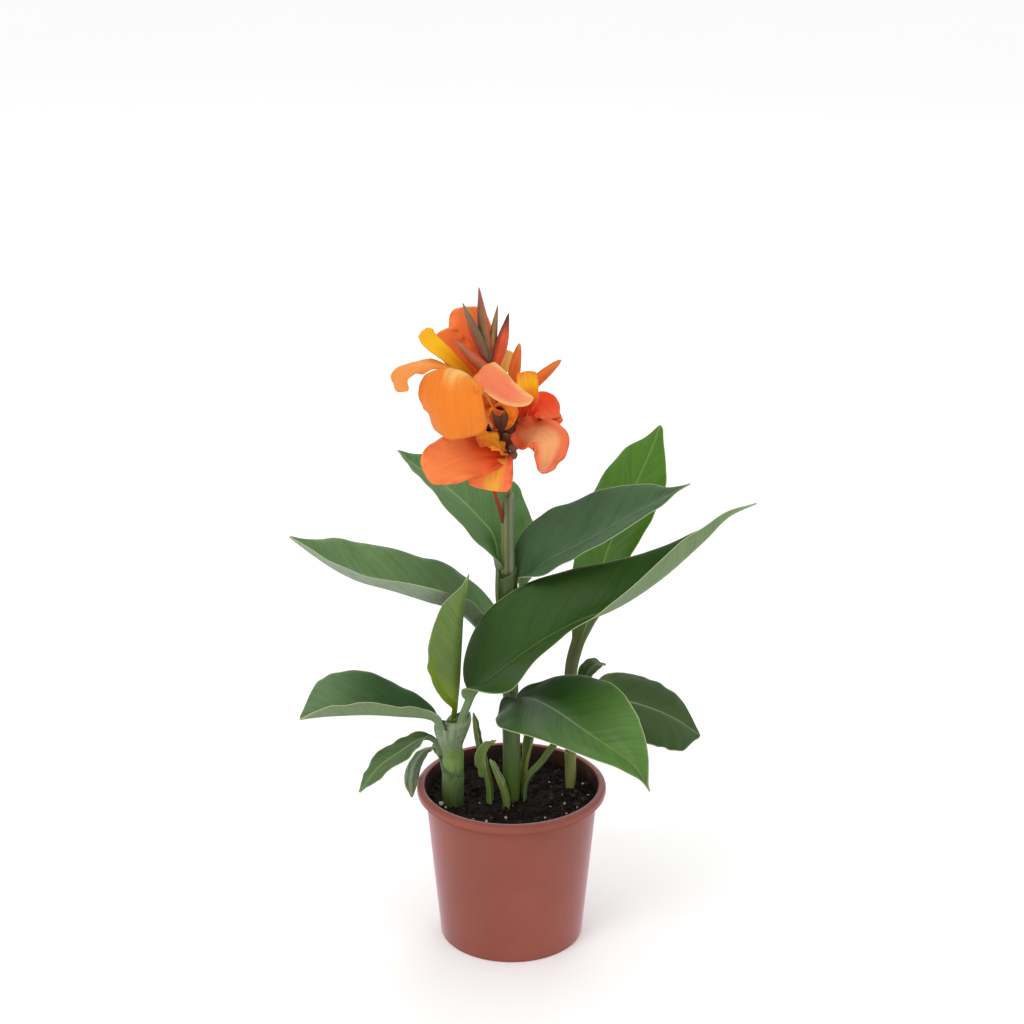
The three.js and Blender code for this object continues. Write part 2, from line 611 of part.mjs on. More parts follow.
function rhizomeSolid(grow = 0) {
  const knob = (x, y, z, length, thick, turn) => {
    const lump = new THREE.SphereGeometry(1, 10, 8);
    lump.scale(length + grow, thick + grow, thick * 0.86 + grow);
    lump.rotateZ(radians(turn));
    lump.translate(x, y, z);
    return lump;
  };
  const { top, radius } = RHIZOME;
  return join([
    knob(-22, -4, top - radius, 26, radius, 8), knob(20, 6, top - radius, 28, radius, 16),
    knob(0, 0, top - radius, 14, radius + 1, 0),
  ]);
}

function soilSolid(holes) {
  const foot = POT.floor + GAP;
  const outline = [[0, foot], [innerRadius(foot) - GAP, foot], [innerRadius(SOIL.top) - GAP, SOIL.top],
    [54, SOIL.top], [40, SOIL.top], [26, SOIL.top], [12, SOIL.top], [0, SOIL.top]];
  const body = new THREE.LatheGeometry(outline.map(([r, z]) => new THREE.Vector2(r, z)), POT.sides);
  body.rotateX(Math.PI / 2);
  const place = body.attributes.position;
  for (let i = 0; i < place.count; i += 1) {
    if (place.getZ(i) > foot + 1) place.setZ(i, soilHeight(place.getX(i), place.getY(i)));
  }
  return holes.reduce((soil, hole) => soil.subtract(hole), solid(body));
}

// ---------------------------------------------------------------- the plant

const largest = (manifold) => manifold.decompose().reduce((a, b) => (a.volume() > b.volume() ? a : b));

// A leaf grips its stem with its sheath; whatever would enter the stem is cut away.
function leafSolid(leaf) {
  const blade = bladeSolid(leaf, LEAF);
  if (!leaf.sheath) return solid(blade);
  const stem = STEMS[leaf.stem];
  const outside = solid(blade).subtract(solid(stemSolid(stem, GAP)));
  return largest(outside).add(solid(sheathSolid(stem, leaf.sheath)));
}

// A pointed bud: a turned spindle bent along a path.
function budSolid({ path, radius }) {
  const profile = [[0, 0], [0.45, 0], [0.85, 0.2], [1, 0.4], [0.75, 0.65], [0.35, 0.87], [0, 1]];
  const outline = profile.map(([r, share]) => new THREE.Vector2(r * radius, share));
  const geometry = new THREE.LatheGeometry(outline, 7);
  const curve = new THREE.CatmullRomCurve3(path.map(vector), false, "catmullrom", 0.5);
  const place = geometry.attributes.position;
  for (let i = 0; i < place.count; i += 1) {
    const [across, share, deep] = [place.getX(i), place.getY(i), place.getZ(i)];
    const along = curve.getTangent(share);
    const side = new THREE.Vector3(0, 1, 0).cross(along).normalize();
    const back = side.clone().cross(along);
    const point = curve.getPoint(share).addScaledVector(side, across).addScaledVector(back, deep);
    place.setXYZ(i, point.x, point.y, point.z);
  }
  return geometry;
}

function knobSolid([x, y, z], radius) {
  const knob = new THREE.SphereGeometry(radius, 8, 6);
  knob.scale(1, 1, 1.2);
  knob.translate(x, y, z);
  return knob;
}

function racemeSolid() {
  return join([
    stemSolid(AXIS),
    ...BUDS.map(budSolid),
    ...BRACTS.map((bract) => bladeSolid({ ...PLAIN, ...bract }, SMALL)),
    ...OVARIES.map((ovary) => knobSolid(ovary.middle, ovary.radius)),
  ]);
}

function stalkSheathSolid() {
  const { low, high, slant, towards, wall } = STALK_SHEATH;
  const inner = (z) => Math.max(valueAt(STEMS.main.radius, z), valueAt(AXIS.radius, z)) + GAP;
  const heights = [low, 340, high];
  const outside = heights.map((z) => [inner(z) + wall, z]);
  const inside = heights.map((z) => [inner(z), z]).reverse();
  const path = [...STEMS.main.path.slice(3), ...AXIS.path.slice(1, 3)];
  const tube = turnedOn({ path }, [...outside, ...inside, outside[0]], STEM_SIDES, slant, towards);
  return join([tube, bladeSolid({ ...PLAIN, ...RED_BRACT }, SMALL)]);
}

function bloomSolid({ throat, petals }) {
  const [start, end] = throat.map(vector);
  const tube = new THREE.CylinderGeometry(2.4, 1.8, start.distanceTo(end) + 3, 8);
  const towards = end.clone().sub(start).normalize();
  tube.applyQuaternion(new THREE.Quaternion().setFromUnitVectors(new THREE.Vector3(0, 1, 0), towards));
  tube.translate(...start.clone().lerp(end, 0.5).toArray());
  const forms = petals.map((petal) => (petal.half[0] > NARROW_PETAL ? PETAL : SMALL));
  return join([tube, ...petals.map((petal, i) => bladeSolid(petal, forms[i]))]);
}

function sproutSolid({ leaves, stalkHalf }) {
  const form = { ...LEAF, rows: 8, columns: 4, stalkHalf, tipHalf: 0.7 };
  return join(leaves.map((leaf) => bladeSolid(leaf, form)));
}

const plant = new THREE.Group();

function add(name, manifold, colour, roughness = 0.55) {
  const material = new THREE.MeshStandardMaterial({ color: colour, roughness, metalness: 0 });
  const mesh = new THREE.Mesh(geometryOf(manifold), material);
  mesh.name = name;
  plant.add(mesh);
}

// The soil keeps clear of the stems, the rhizome and the stalks that stand in it.
const [holeLow, holeHigh] = [RHIZOME.top - 4, SOIL.top + 8];
const holes = Object.values(STEMS).map((stem) => solid(stemSolid(stem, GAP, holeLow, holeHigh)));
holes.push(rhizomeSolid(GAP));
const standing = [...LEAVES, ...SPROUTS].filter((piece) => piece.foot);
standing.forEach((piece) => {
  const [x, y] = (piece.path ?? piece.leaves[0].path)[0];
  const drill = new THREE.CylinderGeometry(SOCKET.radius, SOCKET.footRadius, SOCKET.depth, 12);
  drill.rotateX(Math.PI / 2);
  drill.translate(x, y, piece.foot - GAP + SOCKET.depth / 2);
  holes.push(solid(drill));
});

add("pot", potSolid(), "#a5563f", 0.5);
add("soil", soilSolid(holes), "#1d1512", 0.95);
add("rhizome", rhizomeSolid(), "#c9b48a", 0.8);
add("stem_main", solid(stemSolid(STEMS.main)), "#5c6b3a");
add("stem_left", solid(stemSolid(STEMS.left)), "#7f9a4e");
add("stem_right", solid(stemSolid(STEMS.right)), "#8a9a4a");
LEAVES.forEach((leaf) => add(leaf.name, leafSolid(leaf), "#3c6b2c"));
SPROUTS.forEach((sprout) => add(sprout.name, sproutSolid(sprout), "#7d9a44"));
add("stalk_sheath", stalkSheathSolid(), "#7a7a62");
add("raceme", racemeSolid(), "#7c4a34");
BLOOMS.forEach((bloom) => add(bloom.name, bloomSolid(bloom), "#f28a2e"));

export default plant;
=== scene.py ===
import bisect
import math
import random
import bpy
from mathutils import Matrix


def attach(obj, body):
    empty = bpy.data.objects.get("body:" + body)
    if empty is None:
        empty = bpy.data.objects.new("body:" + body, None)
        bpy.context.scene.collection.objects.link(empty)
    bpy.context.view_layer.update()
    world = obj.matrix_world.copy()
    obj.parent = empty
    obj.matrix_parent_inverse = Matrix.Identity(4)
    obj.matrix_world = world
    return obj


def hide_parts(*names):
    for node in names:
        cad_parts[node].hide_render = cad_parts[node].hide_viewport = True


bl_info = {
    "name": "Potted Canna",
    "version": (1, 0, 0),
    "blender": (4, 5, 0),
    "location": "3D Viewport > Sidebar > Canna",
    "description": "Builds a potted canna with broad leaves, buds and open blooms over its packed frame",
    "category": "Object",
}

import bmesh
import bpy
from mathutils import Vector, noise

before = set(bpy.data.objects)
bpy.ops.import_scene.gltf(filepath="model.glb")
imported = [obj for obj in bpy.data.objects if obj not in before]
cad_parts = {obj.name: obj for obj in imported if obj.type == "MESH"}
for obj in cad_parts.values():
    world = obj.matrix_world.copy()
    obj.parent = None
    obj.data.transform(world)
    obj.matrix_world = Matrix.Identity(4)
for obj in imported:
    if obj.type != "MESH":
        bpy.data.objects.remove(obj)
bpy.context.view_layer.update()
MM = 0.001
TAU = 2 * math.pi
ROOT = "root"

# ---------------------------------------------------------------- shapes, in millimetres

# The gap between a stem and what is wrapped round it.
GAP = 0.35

# Colours that follow each other up a sheath, each with its place between LEVELS_FROM and LEVELS_TO.
LEVELS_FROM, LEVELS_TO = 0.11, 0.2
SHOOT_LEVELS = [(0.0, 0.02, 0.035, 0.008), (0.2, 0.035, 0.06, 0.014), (0.38, 0.085, 0.145, 0.045),
                (0.46, 0.15, 0.235, 0.055), (0.6, 0.15, 0.24, 0.055), (0.72, 0.155, 0.205, 0.11),
                (1.0, 0.16, 0.215, 0.12)]
RIM_LEAF_LEVELS = [(0.0, 0.03, 0.05, 0.012), (0.2, 0.07, 0.11, 0.028), (0.36, 0.1, 0.155, 0.05),
                   (0.39, 0.045, 0.09, 0.018), (1.0, 0.05, 0.095, 0.02)]

# Stems: the middle follows a path; the radius is a table of [height, radius]. The skin is a colour and a
# flush, and the sheaths on the stem have a skin of their own.
STEMS = dict(
    main=dict(
        path=[[1, 0, 84], [0, 0, 112], [0, 0, 167], [-2, 0, 253], [-2, 0, 304], [-3, 0, 340]],
        radius=[[84.4, 5.6], [114, 5.4], [210, 4.6], [304, 4.3], [340, 3.4]],
        skin=((0.05, 0.085, 0.02), (0.1, 0.06, 0.04)),
        wrap=dict(colour=(0.055, 0.095, 0.022), flush=(0.08, 0.07, 0.035), foot=(0.07, 0.12, 0.02))),
    left=dict(
        path=[[-42, -7, 84], [-46, -9, 115], [-46, -10, 146], [-45, -13, 194]],
        radius=[[84, 6.4], [115, 7], [150, 6.6], [176, 5.6], [194, 3.8]],
        skin=((0.12, 0.19, 0.05), (0.3, 0.3, 0.12)),
        wrap=dict(colour=(0.155, 0.21, 0.115), flush=(0.2, 0.25, 0.15), levels=SHOOT_LEVELS)),
    right=dict(
        path=[[43, 14, 84], [47, 18, 115], [47, 24, 147], [47, 31, 182], [47, 34, 198]],
        radius=[[84, 2.4], [115, 2.6], [150, 2.6], [182, 1.8]],
        skin=((0.2, 0.22, 0.05), (0.33, 0.3, 0.07)),
        wrap=dict(colour=(0.1, 0.125, 0.04), flush=(0.17, 0.15, 0.06), foot=(0.2, 0.22, 0.06))),
)

# Blades: what a kind of leaf or petal has, unless one of them says otherwise. The path of a blade runs up
# the middle of its stalk and its sheet. A list of two gives the left and the right half a value of their
# own: half width, place of the widest point, fold at (base, tip), and curl towards the margin. The roll is
# at (start, end), and the wave is (height, count, phase).
LEAF = dict(rows=150, columns=28, stalkHalf=4.2, stalkThick=2.4, bladeThick=0.7, tipHalf=0.8, stalkFold=62,
            point=0.6, vein_gap=5.5, groove=0.7, midrib=1.6, ruffle=1.2, blunt=1.5, roll=(0, 0), curl=-10,
            wave=(1.5, 1.5, 0.3))
SPROUT = dict(LEAF, rows=60, columns=12, tipHalf=0.7, ruffle=0.4, widest=0.5, blunt=1, curl=0,
              wave=(0, 1, 0))
PETAL = dict(rows=56, columns=28, stalkHalf=2.2, stalkThick=1.3, bladeThick=0.6, tipHalf=1.0, stalkFold=30,
             point=0, vein_gap=400, groove=0.5, midrib=1.4, ruffle=2.4, widest=0.5, blunt=0.7, stalk=0.06,
             roll=(0, 0), fold=(0, 0), curl=-20, wave=(0.8, 1.5, 0.2))
SMALL = dict(PETAL, rows=30, columns=10, stalkHalf=1.6, stalkThick=1.1, tipHalf=0.5, stalkFold=40, ruffle=0.4,
             groove=0.2, midrib=0.8)
BRACT = dict(SMALL, widest=0.45, blunt=1, stalk=0.1, fold=(30, 30), curl=0, wave=(0, 1, 0))
SEPAL = dict(look="sepal", half=5, widest=0.36, blunt=1.1, stalk=0.3, heading=90, fold=(-40, -30), curl=0,
             wave=(0, 1, 0))

# Leaves. A sheath is (low, high, slant of its top, direction it slants to, how deep its foot is tucked in,
# flare, share of it that stays straight, how far its mouth leans out to the leaf's side). The upper and the
# under face have a colour each; the base, far and flank colours are where they differ. The far colour, which
# makes the outer part of an upper face lighter or darker, is painted light and shade.
LEAVES = dict(
    # The front low leaf's dark base is painted shade, and its bright far part is painted light.
    leaf_front_low=dict(
        stem="main", sheath=(122, 202, 12, -50, 10, 0.8, 0.6, 0),
        path=[[5, -7, 194], [5, -18, 211], [15, -42, 223], [31, -66, 226], [46, -88, 225], [62, -106, 221],
              [77, -117, 215], [91, -124, 206], [102, -126, 187]],
        half=[43, 50], widest=[0.54, 0.48], blunt=2.9, stalk=0.04, fold=[(30, 66), (-16, 34)],
        curl=[-6, -16], wave=(2.2, 1.3, 0.1), under=dict(colour=(0.1, 0.16, 0.05)),
        upper=dict(colour=(0.017, 0.06, 0.004), base=(0.01, 0.028, 0.004), far=(0.085, 0.18, 0.036))),
    leaf_long_left=dict(
        stem="main", sheath=(206, 234, 5, 215, 6, 0.4, 0.6, 0),
        path=[[-8, -2, 227], [-15, 3, 242], [-27, 7, 261], [-43, -2, 280], [-66, -18, 295],
              [-92, -26, 308], [-118, -34, 320], [-140, -41, 336], [-165, -48, 358]],
        half=[28, 42], widest=[0.5, 0.36], blunt=1.1, stalk=0.1, roll=(0, -30), fold=[(55, 62), (40, 10)],
        curl=[0, -10], wave=(1.5, 1.5, 0.6), upper=dict(colour=(0.11, 0.2, 0.075)),
        under=dict(colour=(0.24, 0.3, 0.2), base=(0.07, 0.13, 0.04))),
    leaf_back_left=dict(
        stem="main", sheath=(237, 262, 5, 140, 6, 0.4, 0.6, 0),
        path=[[-7, 7, 254], [-11, 10, 285], [-11, 12, 314], [-14, 16, 334], [-27, 24, 348], [-43, 36, 360],
              [-62, 48, 371], [-77, 58, 378], [-89, 66, 386]],
        half=[34, 60], widest=[0.3, 0.4], blunt=1.4, stalk=0.3, fold=[(20, 20), (0, 10)], curl=[0, -10],
        upper=dict(colour=(0.06, 0.155, 0.03)), under=dict(colour=(0.16, 0.21, 0.1))),
    leaf_upper_right=dict(
        stem="main", sheath=(266, 310, 6, 0, 8, 1.3, 0.5, 0),
        path=[[6, -4, 294], [13, -9, 308], [26, -15, 325], [56, -20, 344], [82, -24, 362], [107, -28, 378],
              [133, -34, 395]],
        half=[45, 24], widest=[0.32, 0.42], stalk=0.05, fold=[(58, 35), (-10, 0)],
        upper=dict(colour=(0.046, 0.098, 0.038)), under=dict(colour=(0.12, 0.19, 0.07))),
    leaf_back_right=dict(
        stem="right", sheath=(152, 190, 8, 40, 6, 0.4, 0.6, 0),
        path=[[50, 35, 186], [51, 39, 215], [61, 46, 250], [73, 56, 296], [84, 62, 325], [97, 68, 355],
              [109, 72, 383], [117, 74, 404]],
        half=[42, 34], widest=[0.56, 0.68], stalk=0.2, fold=[(10, 0), (0, 0)], curl=0, stalkHalf=9,
        stalkFold=32, under=dict(colour=(0.1, 0.17, 0.03)),
        upper=dict(colour=(0.058, 0.165, 0.004), base=(0.1, 0.105, 0.04))),
    # The large front leaf's darker far part is painted shade.
    leaf_front_large=dict(
        stem="left", sheath=(178, 194, 6, -20, 14, 5, 0.05, 7),
        path=[[-40, -22, 182], [-33, -29, 209], [-22, -35, 231], [16, -50, 270], [49, -58, 294],
              [79, -62, 308], [110, -66, 332], [140, -68, 362], [158, -69, 382], [179, -70, 393]],
        half=[53, 37], widest=[0.28, 0.34], stalk=0.12, fold=[(80, 12), (-45, 85)], curl=[-10, 0],
        wave=(2, 1.5, 0.3), stalkHalf=6.6, stalkFold=52, under=dict(colour=(0.14, 0.21, 0.09)),
        upper=dict(colour=(0.024, 0.066, 0.008), base=(0.03, 0.07, 0.012), far=(0.015, 0.05, 0.003))),
    leaf_young=dict(
        stem="left", sheath=(189, 191, 3, 90, 8, 0, 0.6, 0),
        path=[[-45, -14, 191], [-43, -16, 203], [-41, -24, 230], [-39, -34, 264], [-37, -39, 294],
              [-32, -41, 325]],
        half=[22, 31], widest=[0.45, 0.5], blunt=2.0, stalk=0.08, heading=0, fold=[(80, 80), (70, 70)],
        curl=[10, 0], wave=(0.5, 1, 0), stalkHalf=3.6, upper=dict(colour=(0.085, 0.14, 0.035)),
        under=dict(colour=(0.12, 0.19, 0.045), base=(0.2, 0.28, 0.04), flank=(0.14, 0.215, 0.006))),
    # The lower left leaf's lighter far part is painted light.
    leaf_lower_left=dict(
        stem="left", sheath=(166, 186, 6, 200, 14, 4, 0.1, 7),
        path=[[-53, -19, 172], [-58, -26, 194], [-67, -31, 202], [-86, -40, 208], [-108, -52, 215],
              [-130, -64, 220], [-146, -71, 222], [-159, -77, 222]],
        half=[16, 41], widest=[0.5, 0.56], blunt=1.4, stalk=0.16, fold=[(60, 70), (45, 40)], curl=[0, -10],
        wave=(1.5, 1.2, 0.3), stalkHalf=5.4, stalkFold=50, under=dict(colour=(0.15, 0.21, 0.1)),
        upper=dict(colour=(0.03, 0.074, 0.02), far=(0.11, 0.185, 0.08))),
    leaf_small_left=dict(
        stem="left", sheath=(149, 168, 5, 170, 8, 0.5, 0.6, 0),
        path=[[-57, -9, 159], [-61, -10, 171], [-71, -14, 175], [-87, -24, 169], [-104, -34, 160],
              [-118, -42, 143]],
        half=13, widest=0.5, blunt=1.2, stalk=0.2, fold=[(10, 0), (20, 0)], wave=(1, 1.2, 0.3),
        stalkHalf=4.4, stalkFold=50, upper=dict(colour=(0.068, 0.125, 0.036)),
        under=dict(colour=(0.12, 0.18, 0.07))),
    leaf_over_rim=dict(
        stem="left", sheath=(120, 152, 11, 150, 9, 0.5, 0.6, 0),
        wrap=dict(colour=(0.045, 0.085, 0.02), flush=(0.06, 0.11, 0.03), levels=RIM_LEAF_LEVELS),
        path=[[-52, -2, 138], [-57, 3, 157], [-67, 4, 158], [-76, 8, 145], [-80, 13, 127], [-80, 18, 108]],
        half=[6, 7], widest=0.5, blunt=1.0, stalk=0.15, heading=115, fold=(0, 0), wave=(0.5, 1.2, 0.3),
        stalkHalf=3.4, stalkFold=40, upper=dict(colour=(0.13, 0.22, 0.13)),
        under=dict(colour=(0.17, 0.24, 0.15))),
    leaf_low_right=dict(
        path=[[12, 2, 96], [12, 2, 128], [25, 4, 146], [40, 7, 166], [62, 13, 184], [88, 22, 190],
              [112, 31, 180], [134, 38, 166], [152, 44, 150]],
        half=[32, 36], widest=[0.42, 0.45], blunt=0.9, stalk=0.54, roll=(0, 24), fold=[(20, 10), (-14, -4)],
        wave=(0.7, 1.2, 0.2), stalkFold=45, under=dict(colour=(0.1, 0.15, 0.05)),
        upper=dict(colour=(0.022, 0.058, 0.005), base=(0.12, 0.17, 0.03))),
    leaf_small_right=dict(
        stem="right", sheath=(122, 151, 5, 40, 9, 0.3, 0.6, 0),
        path=[[52, 27, 144], [57, 31, 175], [59, 36, 204], [66, 40, 214], [75, 44, 213]],
        half=9, widest=0.6, blunt=0.9, stalk=0.55, fold=(20, 10), wave=(0.5, 1.2, 0.3), stalkHalf=3,
        under=dict(colour=(0.13, 0.16, 0.07)), upper=dict(colour=(0.05, 0.08, 0.02), base=(0.2, 0.2, 0.05))),
)
# Young shoots: colours of the upper face, under face and foot, the stalk's half width, and the leaves.
SPROUTS = dict(
    sprout_left=((0.08, 0.15, 0.03), (0.13, 0.2, 0.05), (0.2, 0.24, 0.06), 5.28, [
        dict(path=[[-19, -4, 98], [-19, -4, 126], [-23, -5, 148], [-28, -4, 172], [-30, -2, 192]],
             half=5, widest=0.6, stalk=0.5, fold=(60, 40)),
        dict(path=[[-21, -5, 138], [-22, -8, 156], [-18, -12, 168], [-12, -14, 174]],
             half=[6, 7], blunt=0.9, stalk=0.2, fold=(50, 30))]),
    sprout_front=((0.12, 0.18, 0.04), (0.15, 0.21, 0.05), (0.2, 0.24, 0.06), 5.52, [
        dict(path=[[-5, -12, 98], [-6, -12, 120], [-10, -12, 136], [-17, -11, 156]],
             half=4, stalk=0.6, fold=(60, 50))]),
    sprout_right=((0.1, 0.17, 0.03), (0.2, 0.26, 0.06), (0.2, 0.28, 0.05), 5.04, [
        dict(path=[[9, 12, 98], [10, 12, 124], [14, 14, 150], [20, 18, 176], [26, 24, 192]],
             half=7, stalk=0.5, fold=(50, 20))]),
)

# The flower stalk, and the stripes across it: their middle, whole width and colours from left to right.
AXIS = dict(path=[[-3, 0, 340], [-3, 0, 377], [-4, 0, 406], [-6, 1, 429], [-10, 2, 453], [-15, 3, 476],
                  [-17, 3, 488]],
            radius=[[340.4, 3.4], [380, 3.2], [430, 2.6], [470, 2.4], [488, 2.2]])
STALK_STRIPES = (-2.8 * MM, 11 * MM, [
    (0.0, 0.3, 0.34, 0.18), (0.2, 0.16, 0.18, 0.07), (0.34, 0.2, 0.22, 0.09), (0.46, 0.1, 0.14, 0.04),
    (0.57, 0.09, 0.12, 0.04), (0.68, 0.22, 0.22, 0.14), (0.86, 0.22, 0.24, 0.16), (0.97, 0.1, 0.13, 0.06)])
STALK_SHEATH = dict(low=310, high=372, slant=4, towards=-30, wall=1.2)
RED_BRACT = dict(path=[[-7, -3, 352], [-10, -7, 366], [-15, -10, 384]], half=2.4)

# Buds: path, radius, and the colours of left flank, middle, right flank and tip.
BUD_PROFILE = [(0, 0), (0.3, 0.0), (0.5, 0.03), (0.72, 0.1), (0.88, 0.2), (0.97, 0.3), (1, 0.4), (0.95, 0.5),
               (0.84, 0.6), (0.68, 0.7), (0.5, 0.79), (0.34, 0.87), (0.2, 0.94), (0.1, 0.98), (0, 1)]
BUDS = [
    ([[-17, 3, 480], [-21, 2, 508], [-24, 0, 537]], 4.4,
     ((0.14, 0.045, 0.03), (0.2, 0.125, 0.045), (0.48, 0.1, 0.05), (0.3, 0.09, 0.08))),
    ([[-17, 1, 478], [-28, -5, 506], [-36, -7, 527]], 4.2,
     ((0.46, 0.06, 0.035), (0.19, 0.1, 0.05), (0.15, 0.11, 0.05), (0.17, 0.15, 0.07))),
    ([[-15, 4, 478], [-13, 5, 502], [-10, 5, 522]], 3.0,
     ((0.24, 0.17, 0.06), (0.3, 0.2, 0.06), (0.28, 0.12, 0.07), (0.24, 0.15, 0.07))),
    ([[-14, 2, 470], [-7, 2, 494], [-2, 0, 517]], 5,
     ((0.3, 0.05, 0.035), (0.66, 0.085, 0.02), (0.62, 0.08, 0.03), (0.1, 0.02, 0.02))),
    ([[-13, 2, 467], [-28, -8, 484], [-42, -13, 500]], 4.6,
     ((0.56, 0.09, 0.025), (0.4, 0.15, 0.06), (0.55, 0.09, 0.04), (0.36, 0.17, 0.08))),
    ([[-15, 5, 474], [-18, 10, 494], [-20, 14, 508]], 3.2,
     ((0.3, 0.05, 0.03), (0.3, 0.12, 0.06), (0.2, 0.1, 0.05), (0.2, 0.06, 0.04))),
]
# Ovaries, each with its middle and radius, and the bracts that fill the dark throat between the blooms.
OVARIES = [([-8.5, -3, 417], 3.4), ([-3.5, -3, 400], 3.4), ([-1, 1, 426], 3.4), ([-11.5, 5, 441], 3.4),
           ([1, -4, 414], 3.6), ([1.5, -3, 407], 3.2), ([-6, -4, 430], 3.2)]
BRACTS = [
    dict(path=[[-5, -1, 428], [-7, -7, 440], [-9, -11, 449]], half=6),
    dict(path=[[-5, -1, 424], [-2, -8, 438], [-2, -11, 452]], half=5),
    dict(path=[[-4, -1, 411], [-3, -11, 420], [-5, -17, 429]], half=4),
    dict(path=[[-8, 3, 446], [-8, 9, 458], [-10, 12, 470]], half=4),
    dict(path=[[-7, 1, 440], [-4, -5, 456], [-8, -7, 472]], half=4),
    dict(path=[[-4, 0, 403], [2, -2, 409], [8, -4, 416]], half=4),
    dict(path=[[-5, -1, 417], [-13, -3, 425], [-24, -5, 435]], half=8),
    dict(path=[[-5, 0, 412], [-14, -1, 418], [-27, -2, 427]], half=8, blunt=0.6),
    dict(path=[[-5, 1, 411], [-12, 2, 419], [-23, 2, 432]], half=6, blunt=0.6, roll=(90, 90)),
    dict(path=[[-5, -1, 418], [-13, -7, 428], [-20, -12, 440]], half=6),
    dict(path=[[-5, -1, 414], [-9, -11, 428], [-15, -20, 448]], half=7, blunt=2.4),
    dict(path=[[-4, -1, 412], [-6, -13, 428], [-6, -21, 450]], half=7, blunt=2.4),
    dict(path=[[-4, -1, 410], [-2, -11, 424], [1, -18, 448]], half=6, blunt=2.4),
    dict(path=[[-4, 2, 414], [-6, 4, 436], [-9, 6, 456]], half=8),
]
# Blooms: the point where all their petals start, the two ends of the throat, and the petals, each with the
# name of its look.
BLOOMS = dict(
    bloom_front=([-12, -9, 428], [-11, -8, 425], [-12, -11, 430], [
        dict(look="orange", path=[[-19, -20, 452], [-32, -32, 477], [-43, -44, 487],
                                  [-48, -56, 475], [-47, -61, 458], [-44, -59, 438]],
             half=[23, 27], widest=[0.7, 0.72], blunt=0.55, stalk=0.08, fold=[(-20, -25), (-6, -20)],
             curl=[-30, -34], wave=(1.2, 1.5, 0.2), tipHalf=9),
        dict(look="salmon", path=[[-20, -18, 451], [-26, -29, 476], [-20, -38, 484],
                                  [-11, -44, 480], [-1, -49, 473], [8, -52, 469], [16, -53, 468]],
             half=[10, 14], widest=[0.36, 0.5], blunt=1, stalk=0.08, roll=(0, 48),
             fold=[(0, 10), (-10, -10)], curl=[-20, 30], wave=(0.8, 1.5, 0.4), tipHalf=0.8),
        dict(look="flank", path=[[-6, -14, 442], [-6, -24, 453], [-11, -31, 457]],
             half=[10, 13], blunt=0.6, heading=200, roll=(30, 50), wave=(0.6, 1.5, 0.1), tipHalf=2),
        dict(look="flank", path=[[-13, -6, 440], [-12, -10, 452], [-14, -16, 462]],
             half=[7, 8], heading=90, fold=(10, 10), curl=0, wave=(0.5, 1.5, 0.1), tipHalf=2)]),
    bloom_bottom=([-4, -10, 407], [-4, -8, 405], [-5, -12, 410], [
        dict(look="coral", path=[[-18, -22, 412], [-34, -33, 413], [-49, -41, 410],
                                 [-63, -48, 406]],
             half=[14, 23], widest=[0.5, 0.55], blunt=0.8, roll=(-50, -50), curl=[-10, -20],
             wave=(1.6, 1.5, 0.2), tipHalf=1.5),
        dict(look="striped", path=[[-8, -19, 408], [-12, -24, 398], [-14, -25, 386]],
             half=[11, 17], widest=[0.6, 0.66], blunt=0.6, stalk=0.08, heading=-90, curl=-10, tipHalf=4),
        dict(look="golden", path=[[-9, -16, 417], [-17, -22, 425], [-26, -27, 428]],
             half=[9, 8], widest=0.6, stalk=0.1, roll=(-40, -40), fold=(30, 10), curl=0, tipHalf=2)]),
    bloom_right=([4, -1, 432], [3, 0, 430], [6, -2, 435], [
        dict(look="pale_salmon", path=[[13, -12, 429], [23, -22, 432], [30, -29, 428],
                                       [28, -33, 416], [23, -34, 403]],
             half=[13.5, 16.5], widest=[0.4, 0.36], blunt=0.85, stalk=0.04, roll=(45, 10),
             wave=(0.4, 1.5, 0.2)),
        dict(look="red", path=[[11, 3, 439], [19, 2, 445], [26, -2, 443], [30, -8, 437]],
             half=[13, 12], stalk=0.04, roll=(50, 30), tipHalf=1.5),
        dict(look="cup", path=[[8, -6, 446], [12, -13, 458], [12, -15, 467], [11, -13, 476]],
             half=9, widest=0.76, stalk=0.08, heading=90, fold=(40, 30), curl=30, wave=(0.6, 1.5, 0.2),
             tipHalf=1.5),
        dict(SEPAL, path=[[1, -1, 456], [3, -3, 477], [6, -5, 495]]),
        dict(SEPAL, path=[[12, 4, 454], [23, 4, 466], [37, 2, 480]]),
        dict(look="red", path=[[14, 1, 434], [24, -2, 435], [33, -9, 430]],
             half=[11, 9], widest=0.6, roll=(60, 40), curl=-10, wave=(0.6, 1.5, 0.2), tipHalf=2)]),
    bloom_top=([-21, 11, 450], [-19, 10, 448], [-22, 11, 453], [
        dict(look="blush", path=[[-25, 17, 470], [-30, 20, 489], [-33, 20, 504], [-35, 16, 517]],
             half=[15, 17], widest=0.55, blunt=0.75, heading=90, fold=(10, 0), wave=(1.2, 1.5, 0.2)),
        dict(look="blush", path=[[-33, 11, 472], [-45, 10, 488], [-53, 6, 501]],
             half=[11, 12], widest=0.6, heading=100, curl=-10, wave=(1.4, 1.5, 0.2)),
        dict(look="apricot", path=[[-35, -1, 471], [-53, -12, 481], [-70, -20, 484],
                                   [-81, -27, 480], [-84, -31, 466]],
             half=[10, 11], widest=0.7, blunt=0.6, fold=(10, -20), curl=-10, wave=(1, 1.5, 0.2), tipHalf=3),
        dict(look="yellow", path=[[-33, 1, 470], [-47, -8, 486], [-60, -14, 500],
                                  [-64, -16, 509]],
             half=4, widest=0.85, blunt=0.9, heading=120, fold=(40, 0), curl=0, wave=(0.5, 1.5, 0.2),
             tipHalf=3),
        dict(look="pale_yellow", path=[[-13, 14, 462], [-6, 15, 473], [-3, 14, 484]],
             half=5, widest=0.7, stalk=0.2, heading=90, fold=(10, 0), curl=0, wave=(0.5, 1.5, 0.2),
             tipHalf=2)]),
)

